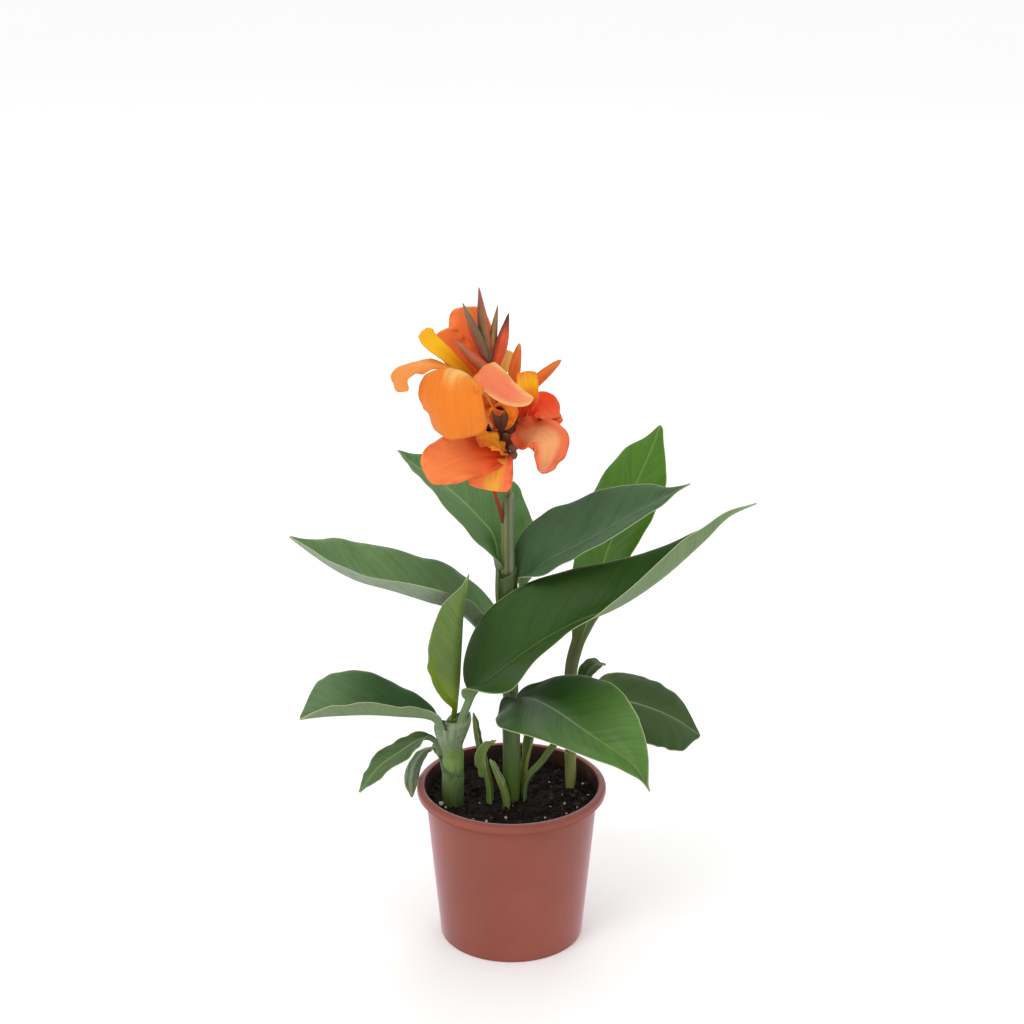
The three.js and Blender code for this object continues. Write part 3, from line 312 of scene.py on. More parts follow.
# ---------------------------------------------------------------- small helpers


def mix(a, b, t):
    """The number that lies t of the way from a to b."""
    return a + (b - a) * t


def clamp(t):
    """t, held between 0 and 1."""
    return min(1.0, max(0.0, t))


def smooth(t):
    """An S-shaped step from 0 to 1."""
    t = clamp(t)
    return t * t * (3 - 2 * t)


def both(value):
    """The values of the left and the right half, which share one value unless they are given as a list."""
    return value if isinstance(value, list) else [value, value]


def value_at(table, z):
    """Reads a table of [height, value] pairs at one height."""
    if z <= table[0][0]:
        return table[0][1]
    for (z0, a), (z1, b) in zip(table, table[1:]):
        if z <= z1:
            return mix(a, b, (z - z0) / (z1 - z0))
    return table[-1][1]


class Route:
    """A smooth curve through a few points, measured along its own length."""

    STEPS = 240
    # How far before and after a point its direction is taken, as a share of the length.
    NEAR = 0.004

    def __init__(self, points):
        points = [Vector(p) for p in points]
        self.spans = len(points) - 1
        self.knots = [2 * points[0] - points[1], *points, 2 * points[-1] - points[-2]]
        self.lengths = [0.0]
        last = self.raw(0)
        for step in range(1, self.STEPS + 1):
            here = self.raw(step / self.STEPS)
            self.lengths.append(self.lengths[-1] + (here - last).length)
            last = here
        self.length = self.lengths[-1]

    def raw(self, t):
        """The point at parameter t, which doesn't run evenly along the curve."""
        place = clamp(t) * self.spans
        index = min(int(place), self.spans - 1)
        w = place - index
        a, b, c, d = self.knots[index:index + 4]
        leaving = (c - a) * 0.5
        arriving = (d - b) * 0.5
        square = 3 * (c - b) - 2 * leaving - arriving
        cube = 2 * (b - c) + leaving + arriving
        return b + leaving * w + square * w ** 2 + cube * w ** 3

    def at(self, share):
        """The point at a share of the curve's length."""
        target = clamp(share) * self.length
        index = min(bisect.bisect_right(self.lengths, target), self.STEPS)
        low, high = self.lengths[index - 1], self.lengths[index]
        within = (target - low) / (high - low) if high > low else 0.0
        return self.raw((index - 1 + within) / self.STEPS)

    def along(self, share):
        """The direction of the curve at a share of its length."""
        return (self.at(min(1.0, share + self.NEAR)) - self.at(max(0.0, share - self.NEAR))).normalized()

    def at_height(self, z):
        """The point where a rising curve passes one height."""
        low, high = 0.0, 1.0
        for _ in range(24):
            middle = (low + high) / 2
            low, high = (middle, high) if self.raw(middle).z < z else (low, middle)
        return self.raw(low)


# ---------------------------------------------------------------- meshes


def finish_object(name, bm, materials, node=None, smooth_faces=True):
    """Turns a bmesh in millimetres into a finished piece of the plant, in metres."""
    bmesh.ops.scale(bm, vec=(MM, MM, MM), verts=bm.verts)
    piece = placed(name, bm, materials)
    for polygon in piece.data.polygons:
        polygon.use_smooth = smooth_faces
    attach(piece, ROOT)
    if node:
        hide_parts(node)
    return piece


def placed(name, bm, materials=()):
    """Puts a bmesh into the scene as an object."""
    mesh = bpy.data.meshes.new(name)
    bm.to_mesh(mesh)
    bm.free()
    for material in materials:
        mesh.materials.append(material)
    thing = bpy.data.objects.new(name, mesh)
    bpy.context.scene.collection.objects.link(thing)
    return thing


def spun(bm, profile, steps, closed=False):
    """Turns a profile of [radius, height] points about the Z axis and returns the new vertices."""
    known = set(bm.verts)
    ring = [bm.verts.new((radius, 0, height)) for radius, height in profile]
    edges = [bm.edges.new(pair) for pair in zip(ring, ring[1:])]
    if closed:
        edges.append(bm.edges.new((ring[-1], ring[0])))
    bmesh.ops.spin(bm, geom=ring + edges, cent=(0, 0, 0), axis=(0, 0, 1), angle=TAU,
                   steps=steps, use_merge=True, use_duplicate=False)
    fresh = [vert for vert in bm.verts if vert not in known]
    bmesh.ops.remove_doubles(bm, verts=fresh, dist=1e-4)
    fresh = [vert for vert in bm.verts if vert not in known]
    faces = [face for face in bm.faces if face.verts[0] not in known]
    bmesh.ops.recalc_face_normals(bm, faces=faces)
    return fresh


def lean(verts, stem, slant=0, towards=0, notched=False):
    """Moves turned vertices onto a leaning stem; the top may be cut at a slant or to a V-shaped notch."""
    route = stem if isinstance(stem, Route) else Route(stem["path"])
    foot = min(vert.co.z for vert in verts)
    top = max(vert.co.z for vert in verts)
    for vert in verts:
        facing = math.cos(math.atan2(vert.co.y, vert.co.x) - math.radians(towards))
        if notched:
            facing = 1 - 2 * math.acos(max(-1.0, min(1.0, facing))) / math.pi
        height = vert.co.z + slant * facing * clamp((vert.co.z - foot) / (top - foot))
        middle = route.at_height(height)
        vert.co = Vector((vert.co.x + middle.x, vert.co.y + middle.y, height))


def bent_along(bm, route, profile, steps):
    """A turned form bent along a route; the profile is [radius, share of the length]."""
    layer = bm.loops.layers.uv.new("form")
    shares = {vert: vert.co.z for vert in spun(bm, profile, steps)}
    for face in bm.faces:
        for loop in face.loops:
            turn = math.atan2(loop.vert.co.y, loop.vert.co.x)
            loop[layer].uv = (0.5 + 0.5 * math.cos(turn), shares[loop.vert])
    for vert, share in shares.items():
        along = route.along(share)
        side = Vector((0, 1, 0)).cross(along).normalized()
        vert.co = route.at(share) + side * vert.co.x + side.cross(along) * vert.co.y


class Blade:
    """A leaf or petal as a curved, folded and waved sheet that hangs on a route."""

    MAPS = ("form", "veins", "edges")
    # The last share of a blade, over which it narrows to its drawn-out tip.
    TIP_SHARE = 0.2

    def __init__(self, form, shape):
        self.shape = {**form, **shape}
        for key in ("half", "widest", "fold", "curl"):
            self.shape[key] = both(self.shape[key])
        self.route = Route(shape["path"])
        way = self.route.at(1) - self.route.at(0)
        heading = math.atan2(way.y, way.x)
        if "heading" in shape:
            heading = math.radians(shape["heading"])
        self.leftwards = Vector((-math.sin(heading), math.cos(heading), 0))
        self.length = self.route.length * (1 - self.shape["stalk"])

    def share(self, u):
        """How far along the blade itself a share of the whole route lies."""
        stalk = self.shape["stalk"]
        return clamp((u - stalk) / (1 - stalk))

    def half_width(self, s, side):
        """Half the width of the stalk and the sheet at a share of the blade."""
        shape, outline = self.shape, 0.0
        if 0 < s < 1:
            widest = shape["widest"][side]
            outline = ((s / widest) ** widest * ((1 - s) / (1 - widest)) ** (1 - widest)) ** shape["blunt"]
        drawn_out = 1 - shape["point"] * (1 - smooth((1 - s) / self.TIP_SHARE))
        stalk = shape["stalkHalf"] * (1 - smooth(s * 1.5))
        return math.hypot(stalk, shape["half"][side] * outline * drawn_out) + shape["tipHalf"] * s

    def vein_phase(self, s, across, half):
        """Counts the side veins, which run forward from the midrib to the margin."""
        forward = half * (0.95 * across + 0.35 * across ** 2)
        return (s * self.length - forward) / self.shape["vein_gap"]

    def relief(self, s, across, half):
        """The fine height of the sheet: the midrib's groove and the ruffled margin."""
        shape = self.shape
        inside = smooth(s * 6) * smooth((1 - s) * 8)
        groove = -shape["groove"] * math.exp(-(across * half / shape["midrib"]) ** 2) * inside
        wander = noise.noise(Vector((s * 9 + self.leftwards.x * 5, across * 2.5, half * 0.03)))
        return groove + shape["ruffle"] * across ** 3 * wander * inside * 2

    def row(self, u, places):
        """The points of one cross-section, for sorted places v from -1 to 1."""
        shape, s = self.shape, self.share(u)
        along = self.route.along(u)
        normal = along.cross(self.leftwards).normalized()
        left = normal.cross(along)
        roll = math.radians(mix(*shape["roll"], smooth(u)))
        rolled_left = left * math.cos(roll) + normal * math.sin(roll)
        rolled_up = normal * math.cos(roll) - left * math.sin(roll)
        origin = self.route.at(u)
        amount, count, phase = shape["wave"]
        points = {}
        for side, sign in ((0, 1), (1, -1)):
            fold = mix(shape["stalkFold"], mix(*shape["fold"][side], s), smooth(s * 5))
            half = self.half_width(s, side)
            sway = amount * math.sin(TAU * (count * s + phase + side * 0.37)) * math.sin(math.pi * s)
            out = up = last = 0.0
            for v in sorted((abs(v) for v in places if v * sign >= 0)):
                step = v - last
                middle = last + step / 2
                angle = math.radians(fold * clamp(middle * 3)
                                     + shape["curl"][side] * smooth(s * 4) * middle ** 2)
                out += math.cos(angle) * half * step
                up += math.sin(angle) * half * step
                last = v
                rise = up + sway * v ** 2 + self.relief(s, v, half)
                points[sign * v] = (origin + rolled_left * sign * out + rolled_up * rise, half)
        return points

    def weight(self, s, across, half):
        """How thick the sheet is at one place, as a share of its stalk."""
        shape = self.shape
        rib = math.exp(-(across * half / (shape["midrib"] * 1.4)) ** 2) * (1 - s * 0.7)
        stalk = 1 - smooth(s * 4)
        thin = shape["bladeThick"] / shape["stalkThick"]
        return clamp(max(stalk, thin + (1 - thin) * 0.6 * rib) * (1 - 0.45 * across ** 4))

    def build(self, bm):
        """Adds the sheet to a bmesh, with its maps and its thickness."""
        shape = self.shape
        thick = bm.verts.layers.deform.verify()
        layers = [bm.loops.layers.uv.get(name) or bm.loops.layers.uv.new(name) for name in self.MAPS]
        known = set(bm.verts)
        bmesh.ops.create_grid(bm, x_segments=shape["columns"], y_segments=shape["rows"], size=1)
        faces = [face for face in bm.faces if face.verts[0] not in known]
        bmesh.ops.reverse_faces(bm, faces=faces)
        lines = {}
        for vert in bm.verts:
            if vert not in known:
                lines.setdefault(round((vert.co.y + 1) / 2, 5), {})[vert] = round(vert.co.x, 5)
        facts = {}
        for u, line in lines.items():
            s = self.share(u)
            points = self.row(u, set(line.values()))
            along = s if s > 0 else u / shape["stalk"] - 1
            for vert, v in line.items():
                vert.co, half = points[v]
                across = abs(v)
                facts[vert] = ((0.5 + v / 2, along), (self.vein_phase(s, across, half), s),
                               (across * half * 0.01, (1 - across) * half * 0.01))
                vert[thick][0] = self.weight(s, across, half)
        for face in faces:
            for loop in face.loops:
                for layer, fact in zip(layers, facts[loop.vert]):
                    loop[layer].uv = fact


def give_thickness(piece, thickness):
    """Makes a sheet a closed solid: upper face, lower face and rim have materials 0, 1 and 2."""
    piece.vertex_groups.new(name="thickness")
    wall = piece.modifiers.new("wall", "SOLIDIFY")
    wall.thickness = thickness * MM
    wall.offset = 0
    wall.vertex_group = "thickness"
    wall.thickness_vertex_group = 0.0
    wall.material_offset = 1
    wall.material_offset_rim = 2


# ---------------------------------------------------------------- materials


class Number:
    """A value in a material's nodes, which ordinary arithmetic can be done on."""

    def __init__(self, shade, socket):
        self.shade = shade
        self.socket = socket

    def join(self, operation, *values):
        """One node of arithmetic on the given values."""
        node = self.shade.node("ShaderNodeMath", dict(operation=operation))
        for socket, value in zip(node.inputs, values):
            self.shade.feed(socket, value)
        return Number(self.shade, node.outputs[0])

    def __add__(self, other):
        return self.join("ADD", self, other)

    def __sub__(self, other):
        return self.join("SUBTRACT", self, other)

    def __rsub__(self, other):
        return self.join("SUBTRACT", other, self)

    def __mul__(self, other):
        return self.join("MULTIPLY", self, other)

    def __truediv__(self, other):
        return self.join("DIVIDE", self, other)

    def __pow__(self, other):
        return self.join("POWER", self, other)

    def sine(self):
        return self.join("SINE", self)

    def size(self):
        return self.join("ABSOLUTE", self)

    def step(self, low, high):
        """0 up to low, 1 from high, and an S-shaped rise between them."""
        node = self.shade.node("ShaderNodeMapRange", dict(interpolation_type="SMOOTHSTEP"),
                               {"Value": self, "From Min": low, "From Max": high})
        return Number(self.shade, node.outputs["Result"])


class Shade:
    """A material that is being written node by node."""

    def __init__(self, name):
        self.material = bpy.data.materials.new(name)
        self.material.use_nodes = True
        self.tree = self.material.node_tree
        self.surface = self.tree.nodes["Principled BSDF"]

    def feed(self, socket, value):
        """Links a number or an output to a socket, or sets the socket's own value."""
        if isinstance(value, Number):
            self.tree.links.new(value.socket, socket)
        elif isinstance(value, bpy.types.NodeSocket):
            self.tree.links.new(value, socket)
        elif socket.type == "RGBA":
            socket.default_value = (*value[:3], 1)
        else:
            socket.default_value = value

    def node(self, kind, settings=None, values=None):
        """Adds one node: its settings first, then the values or links of its sockets."""
        node = self.tree.nodes.new(kind)
        for key, value in (settings or {}).items():
            setattr(node, key, value)
        for key, value in (values or {}).items():
            self.feed(node.inputs[key], value)
        return node

    def map(self, name):
        """The two numbers of one of the piece's own maps."""
        place = self.node("ShaderNodeUVMap", dict(uv_map=name)).outputs[0]
        split = self.node("ShaderNodeSeparateXYZ", values={"Vector": place})
        return Number(self, split.outputs[0]), Number(self, split.outputs[1])

    def vector(self, x, y, z=0.0):
        return self.node("ShaderNodeCombineXYZ", values={"X": x, "Y": y, "Z": z}).outputs[0]

    def place(self, *scale):
        """Object coordinates, in metres, stretched by a scale."""
        place = self.node("ShaderNodeTexCoord").outputs["Object"]
        values = {"Vector": place, "Scale": scale or (1, 1, 1)}
        return self.node("ShaderNodeMapping", values=values).outputs[0]

    def coordinate(self, axis):
        """One of the object coordinates, in metres."""
        return Number(self, self.node("ShaderNodeSeparateXYZ", values={"Vector": self.place()}).outputs[axis])

    def noise(self, place, scale, detail=3.0, roughness=0.55):
        values = {"Vector": place, "Scale": scale, "Detail": detail, "Roughness": roughness}
        return Number(self, self.node("ShaderNodeTexNoise", values=values).outputs["Fac"])

    def cells(self, scale):
        node = self.node("ShaderNodeTexVoronoi", values={"Vector": self.place(), "Scale": scale})
        return Number(self, node.outputs["Distance"])

    def blend(self, factor, first, second, kind="MIX"):
        """Mixes two colours."""
        node = self.node("ShaderNodeMix", dict(data_type="RGBA", blend_type=kind, clamp_factor=True))
        for index, value in ((0, factor), (6, first), (7, second)):
            self.feed(node.inputs[index], value)
        return node.outputs[2]

    def tones(self, factor, colour, dark, light):
        """Runs from a darker to a lighter tone of one colour."""
        return self.blend(factor, brighter(colour, dark), brighter(colour, light))

    def ramp(self, place, stops):
        """Runs through a row of colours, each given with its place."""
        node = self.node("ShaderNodeValToRGB", values={"Fac": place})
        elements = node.color_ramp.elements
        while len(elements) < len(stops):
            elements.new(0.5)
        for element, (position, *colour) in zip(elements, stops):
            element.position = position
            element.color = (*colour, 1)
        return node.outputs["Color"]

    def finish(self, colour, roughness, height=None, strength=1.0, distance=0.001, **sockets):
        """Sets the surface: varying colour, roughness and relief, and uniform values by socket name."""
        self.feed(self.surface.inputs["Base Color"], colour)
        self.feed(self.surface.inputs["Roughness"], roughness)
        if height is not None:
            values = {"Height": height, "Strength": strength, "Distance": distance}
            bump = self.node("ShaderNodeBump", values=values)
            self.feed(self.surface.inputs["Normal"], bump.outputs["Normal"])
        for name, value in sockets.items():
            self.feed(self.surface.inputs[name.replace("_", " ")], value)
        return self.material


def brighter(colour, factor, added=(0, 0, 0)):
    """A colour scaled in brightness, with a little of another colour added."""
    return tuple(min(1.0, channel * factor + extra) for channel, extra in zip(colour, added))


def leaf_start(shade, sharpness, grain):
    """What both faces of a leaf use: place along it, streaks and fine lines with its veins, and mottling."""
    across, along = shade.map("form")
    phase = shade.map("veins")[0]
    broad = shade.noise(shade.vector(phase * 0.5, across * 1.4), 1.0, 2.0)
    narrow = shade.noise(shade.vector(phase * 2.3, across * 1.1, 4.0), 1.0, 3.0)
    lines = ((phase * TAU).sine() * 0.5 + 0.5) ** sharpness
    return along, broad * 0.5 + narrow * 0.5, lines, shade.noise(shade.place(), grain)


def leaf_upper(name, colour, base=None, far=None):
    """A leaf's upper face: side veins, mottling, pale midrib and margin; the stalk may differ, and on some
    leaves the far part carries painted light, on others painted shade.
    """
    shade = Shade(name)
    along, streaks, lines, mottle = leaf_start(shade, 6, 90)
    from_rib, from_margin = shade.map("edges")
    patches = shade.noise(shade.place(), 13)
    tone = (streaks * 0.6 + mottle * 0.15 + patches * 0.25).step(0.32, 0.68)
    flesh = shade.tones(tone, colour, 0.78, 1.24)
    # Painted light and shade: the far part of the blade takes the far colour, lighter on some leaves and
    # darker on others, as light falls on them.
    if far:
        flesh = shade.blend(along.step(0.35, 0.85), flesh, shade.tones(tone, far, 0.8, 1.2))
    flesh = shade.blend(lines * streaks * 0.22, flesh, brighter(colour, 1.9))
    # The stalk and the foot of the blade take the base colour; on the front low leaf this is painted shade.
    if base:
        flesh = shade.blend(along.step(-0.15, 0.34), base, flesh)
    blade = along.step(0.0, 0.1)
    rib = (1 - from_rib.step(0.003, 0.016)) * (0.9 - along * 0.5) * blade
    flesh = shade.blend(rib, flesh, brighter(colour, 1.0, (0.15, 0.18, 0.08)))
    rim = (1 - from_margin.step(0.002, 0.009)) * blade
    flesh = shade.blend(rim * 0.75, flesh, (0.36, 0.42, 0.2))
    rough = mottle * 0.14 + patches * 0.12 + 0.36
    return shade.finish(flesh, rough, streaks * 0.7 + lines * 0.3 + mottle * 0.2, 0.35, 0.0005,
                        Specular_IOR_Level=0.22)


def leaf_under(name, colour, base=None, flank=None):
    """A leaf's lower face: paler, with raised veins and a thick pale midrib; stalk and flank may differ."""
    shade = Shade(name)
    along, streaks, lines, mottle = leaf_start(shade, 4, 70)
    from_rib, from_margin = shade.map("edges")
    flesh = shade.tones((streaks * 0.7 + mottle * 0.3).step(0.3, 0.7), colour, 0.84, 1.14)
    flesh = shade.blend(lines * 0.25, flesh, brighter(colour, 1.35))
    if base:
        flesh = shade.blend(along.step(0.05, 0.45), base, flesh)
    if flank:
        beside = (1 - from_margin.step(0.055, 0.07)) * (1 - along.step(0.42, 0.56))
        flesh = shade.blend(beside, flesh, flank)
    rib = (1 - from_rib.step(0.008, 0.022)) * along.step(-0.1, 0.1)
    flesh = shade.blend(rib * 0.55, flesh, brighter(colour, 1.0, (0.12, 0.14, 0.05)))
    rim = (1 - from_margin.step(0.002, 0.009)) * along.step(0.0, 0.1)
    flesh = shade.blend(rim * 0.6, flesh, (0.38, 0.43, 0.24))
    return shade.finish(flesh, mottle * 0.15 + 0.45, streaks * 0.6 + lines * 0.5 + mottle * 0.2, 0.4, 0.0005,
                        Specular_IOR_Level=0.25)


def leaf_rim(name, colour, stalk):
    """The thin edge all round a leaf or petal, which takes the stalk's colour lower down."""
    shade = Shade(name)
    edge = shade.tones(shade.noise(shade.place(), 120), colour, 0.85, 1.1)
    edge = shade.blend(shade.map("form")[1].step(0.0, 0.25), brighter(stalk, 0.9), edge)
    return shade.finish(edge, 0.5, Specular_IOR_Level=0.3)


def petal_face(name, stops, flush, flush_share=0.3, edge=None, stripe=None, painted_highlight=None):
    """A petal's face: colours that follow each other from throat to tip, with streaks and a painted
    highlight.
    """
    shade = Shade(name)
    across, along = shade.map("form")
    streaks = shade.noise(shade.vector(across * 13, along * 1.3), 1.0, 3.0)
    fine = shade.noise(shade.vector(across * 45, along * 2.4), 1.0, 2.0)
    mottle = shade.noise(shade.place(), 55)
    flesh = shade.ramp(along + (streaks - 0.5) * 0.3 + (mottle - 0.5) * 0.15, stops)
    if stripe:
        flesh = shade.blend((1 - (across - 0.5).size().step(0.08, 0.3)) * 0.85, flesh, stripe)
    # A painted highlight: a pale patch where light falls on the petal.
    if painted_highlight:
        (middle, place, reach), light = painted_highlight
        aside, ahead = across - middle, (along - place) * 0.8
        near = aside * aside + ahead * ahead + (mottle - 0.5) * (reach * reach * 0.8)
        flesh = shade.blend(1 - near.step(0.0, reach * reach), flesh, light)
    flesh = shade.blend((streaks * 0.7 + mottle * 0.3).step(0.46, 0.66) * flush_share, flesh, flush)
    flesh = shade.blend((1 - fine.step(0.3, 0.65)) * 0.2, flesh, (0.86, 0.66, 0.5), "MULTIPLY")
    if edge:
        flesh = shade.blend((1 - shade.map("edges")[1].step(0.0, 0.045)) * 0.6, flesh, edge)
    return shade.finish(flesh, mottle * 0.15 + 0.46, streaks * 0.6 + fine * 0.3 + mottle * 0.3, 0.3, 0.0006,
                        Specular_IOR_Level=0.18)


def fibres(shade, stretch):
    """Long streaks that run up a stem, and its fine relief."""
    streaks = shade.noise(shade.place(1, 1, stretch), 420, 4.0)
    fine = shade.noise(shade.place(1, 1, 0.2), 1500, 2.0)
    return streaks, streaks * 0.7 + fine * 0.3


def stem_skin(name, colour, flush, foot=None, levels=None):
    """Stem tissue with long streaks and faint rings of colour; its colours may change with the height."""
    shade = Shade(name)
    streaks, relief = fibres(shade, 0.08)
    bands = shade.noise(shade.place(0.2, 0.2, 1), 34)
    flesh = shade.tones(streaks.step(0.3, 0.7), colour, 0.75, 1.3)
    flesh = shade.blend((bands * 0.6 + streaks * 0.4).step(0.42, 0.68) * 0.35, flesh, flush)
    if foot or levels:
        height = shade.coordinate("Z") + (streaks - 0.5) * 0.02
    if levels:
        tint = shade.ramp((height - LEVELS_FROM) / (LEVELS_TO - LEVELS_FROM), levels)
        tint = shade.blend((1 - streaks.step(0.3, 0.6)) * 0.5, tint, (0.75, 0.8, 0.75), "MULTIPLY")
        flesh = shade.blend(height.step(0.165, 0.185), tint, flesh)
    elif foot:
        flesh = shade.blend(height.step(0.125, 0.175), foot, flesh)
    return shade.finish(flesh, streaks * 0.2 + 0.38, relief, 0.2, 0.0005, Specular_IOR_Level=0.35)


def striped_skin(name, middle, width, stops):
    """A stem whose colours change in stripes across its front, such as folded sheaths show."""
    shade = Shade(name)
    streaks, relief = fibres(shade, 0.06)
    flesh = shade.ramp((shade.coordinate("X") - middle) / width + 0.5 + (streaks - 0.5) * 0.12, stops)
    flesh = shade.blend((1 - streaks.step(0.3, 0.6)) * 0.5, flesh, (0.75, 0.75, 0.7), "MULTIPLY")
    return shade.finish(flesh, streaks * 0.2 + 0.4, relief, 0.25, 0.0005, Specular_IOR_Level=0.3)


def bud_skin(name, left, middle, right, tip):
    """A pointed bud, streaked along its length, with a different tone on each flank and at the tip."""
    shade = Shade(name)
    around, share = shade.map("form")
    streaks = shade.noise(shade.vector(around * 9, share * 1.1), 1.0, 3.0)
    mottle = shade.noise(shade.place(), 160)
    flesh = shade.ramp(around + (streaks - 0.5) * 0.35,
                       [(0.1, *left), (0.42, *middle), (0.62, *middle), (0.88, *right)])
    flesh = shade.blend((share + (streaks - 0.5) * 0.3).step(0.62, 0.95), flesh, tip)
    flesh = shade.blend((1 - mottle.step(0.35, 0.6)) * 0.4, flesh, (0.7, 0.62, 0.6), "MULTIPLY")
    return shade.finish(flesh, mottle * 0.2 + 0.4, streaks, 0.5, 0.0006, Specular_IOR_Level=0.3)


def warty_skin(name, colour, wart):
    """The small bristly warts of an ovary."""
    shade = Shade(name)
    cells = shade.cells(900)
    flesh = shade.blend(cells.step(0.15, 0.6), wart, colour)
    return shade.finish(flesh, 0.45, 1 - cells, 0.8, 0.0008)


def moulded_plastic(name, colour, gloss, sheen):
    """Injection-moulded plastic with faint clouding, fine scuffs and some pale sheen."""
    shade = Shade(name)
    clouds = shade.noise(shade.place(), 14)
    grain = shade.noise(shade.place(), 900, 2.0)
    scuffs = shade.noise(shade.place(1, 1, 0.1), 260, 3.0)
    flesh = shade.tones(clouds.step(0.3, 0.7), colour, 0.9, 1.08)
    flesh = shade.blend(scuffs.step(0.62, 0.8) * 0.12, flesh, brighter(colour, 1.5))
    rough = clouds * 0.1 + scuffs * 0.1 + (0.66 - gloss * 0.4)
    return shade.finish(flesh, rough, grain, 0.12, 0.0002, Specular_IOR_Level=0.3,
                        Sheen_Weight=sheen, Sheen_Roughness=0.35, Sheen_Tint=(0.85, 0.68, 0.8))


def shaded_stained_plastic(name, colour):
    """The pot's inside, in painted shade: the whole wall darkened, and near black in blotches that thin out
    towards the lip, which also stand for stains of wet soil.
    """
    shade = Shade(name)
    blotches = shade.noise(shade.place(), 60, 5.0)
    # Painted shade: the wall at about a third of the plastic's brightness, and near black in blotches towards
    # the soil, which also stand for soil stains.
    painted_shade_and_stain = 1 - (shade.coordinate("Z") + (blotches - 0.5) * 0.03).step(0.118, 0.134)
    flesh = shade.tones(blotches.step(0.3, 0.7), colour, 0.3, 0.45)
    flesh = shade.blend(painted_shade_and_stain, flesh, (0.02, 0.009, 0.007))
    return shade.finish(flesh, blotches * 0.2 + 0.5, blotches, 0.4, 0.0005, Specular_IOR_Level=0.3)


def potting_mix(name, colour):
    """Moist fibrous soil, near black, with brown bits of bark."""
    shade = Shade(name)
    lumps = shade.noise(shade.place(), 190, 5.0, 0.7)
    bark = shade.noise(shade.place(1, 1, 2), 330, 2.0)
    flesh = shade.tones(lumps.step(0.35, 0.8), colour, 0.4, 1.8)
    flesh = shade.blend(bark.step(0.62, 0.7) * 0.5, flesh, (0.05, 0.024, 0.013))
    return shade.finish(flesh, lumps * 0.2 + 0.75, lumps + shade.cells(420) * 0.4, 1.0, 0.003,
                        Specular_IOR_Level=0.15)


def bark_crumb(name, colour):
    """Bits of brown bark and fibre."""
    shade = Shade(name)
    grain = shade.noise(shade.place(1, 1, 3), 500, 4.0)
    flesh = shade.tones(grain.step(0.3, 0.7), colour, 0.35, 1.5)
    return shade.finish(flesh, grain * 0.2 + 0.7, grain, 0.8, 0.001, Specular_IOR_Level=0.2)


def mineral_grain(name, colour):
    """Pale porous perlite, stained by the soil."""
    shade = Shade(name)
    pores = shade.cells(1400)
    flesh = shade.tones(pores.step(0.1, 0.5), colour, 0.6, 1.0)
    return shade.finish(flesh, 0.9, pores, 0.7, 0.0006)


def root_skin(name, colour):
    """The rhizome's corky skin."""
    shade = Shade(name)
    rings = shade.noise(shade.place(2.5, 1, 1), 90, 4.0)
    return shade.finish(shade.tones(rings, colour, 0.6, 1.1), rings * 0.2 + 0.65, rings, 0.6, 0.001)


def studio_floor(name, colour):
    """A plain pale floor with the faintest mottling."""
    shade = Shade(name)
    return shade.finish(shade.tones(shade.noise(shade.place(), 3), colour, 0.985, 1.0), 0.9)


# ---------------------------------------------------------------- settings a user can change


class CannaPotSettings(bpy.types.PropertyGroup):
    """Sizes and finish of the pot."""

    rim: bpy.props.FloatProperty(name="Rim radius", description="Outermost radius of the lip",
                                 default=75 * MM, unit="LENGTH")
    height: bpy.props.FloatProperty(name="Height", description="Height of the pot", default=130 * MM,
                                    unit="LENGTH")
    colour: bpy.props.FloatVectorProperty(name="Colour", description="Colour of the plastic", size=3,
                                          subtype="COLOR", default=(0.245, 0.06, 0.037))
    gloss: bpy.props.FloatProperty(name="Gloss", description="How shiny the plastic is", default=0.5, min=0,
                                   max=1, subtype="FACTOR")


class CannaSoilSettings(bpy.types.PropertyGroup):
    """The potting mix."""

    colour: bpy.props.FloatVectorProperty(name="Colour", description="Colour of the moist soil", size=3,
                                          subtype="COLOR", default=(0.01, 0.006, 0.005))
    grains: bpy.props.IntProperty(name="Perlite grains", description="White grains on the surface",
                                  default=26, min=0, max=400)
    crumbs: bpy.props.IntProperty(name="Crumbs", description="Loose crumbs of soil", default=900, min=0,
                                  max=3000)
    bark: bpy.props.IntProperty(name="Bark", description="Bits of bark on the surface", default=140, min=0,
                                max=1000)
    seed: bpy.props.IntProperty(name="Seed", description="Changes where grains and crumbs lie", default=7)


class CannaLeafSettings(bpy.types.PropertyGroup):
    """Leaves and young shoots."""

    rim: bpy.props.FloatVectorProperty(name="Rim colour", description="Colour of the leaves' thin rim",
                                       size=3, subtype="COLOR", default=(0.42, 0.46, 0.28))
    thickness: bpy.props.FloatProperty(name="Thickness", default=2.4 * MM, unit="LENGTH",
                                       description="Thickness of a stalk; blades are thinner")


class CannaFlowerSettings(bpy.types.PropertyGroup):
    """Buds and blooms."""

    orange: bpy.props.FloatVectorProperty(name="Orange", description="Main colour of the petals", size=3,
                                          subtype="COLOR", default=(0.72, 0.185, 0.01))
    yellow: bpy.props.FloatVectorProperty(name="Yellow", description="Colour of the throat and the lip",
                                          size=3, subtype="COLOR", default=(0.8, 0.38, 0.008))
    thickness: bpy.props.FloatProperty(name="Thickness", description="Thickness of a petal's foot",
                                       default=1.3 * MM, unit="LENGTH")


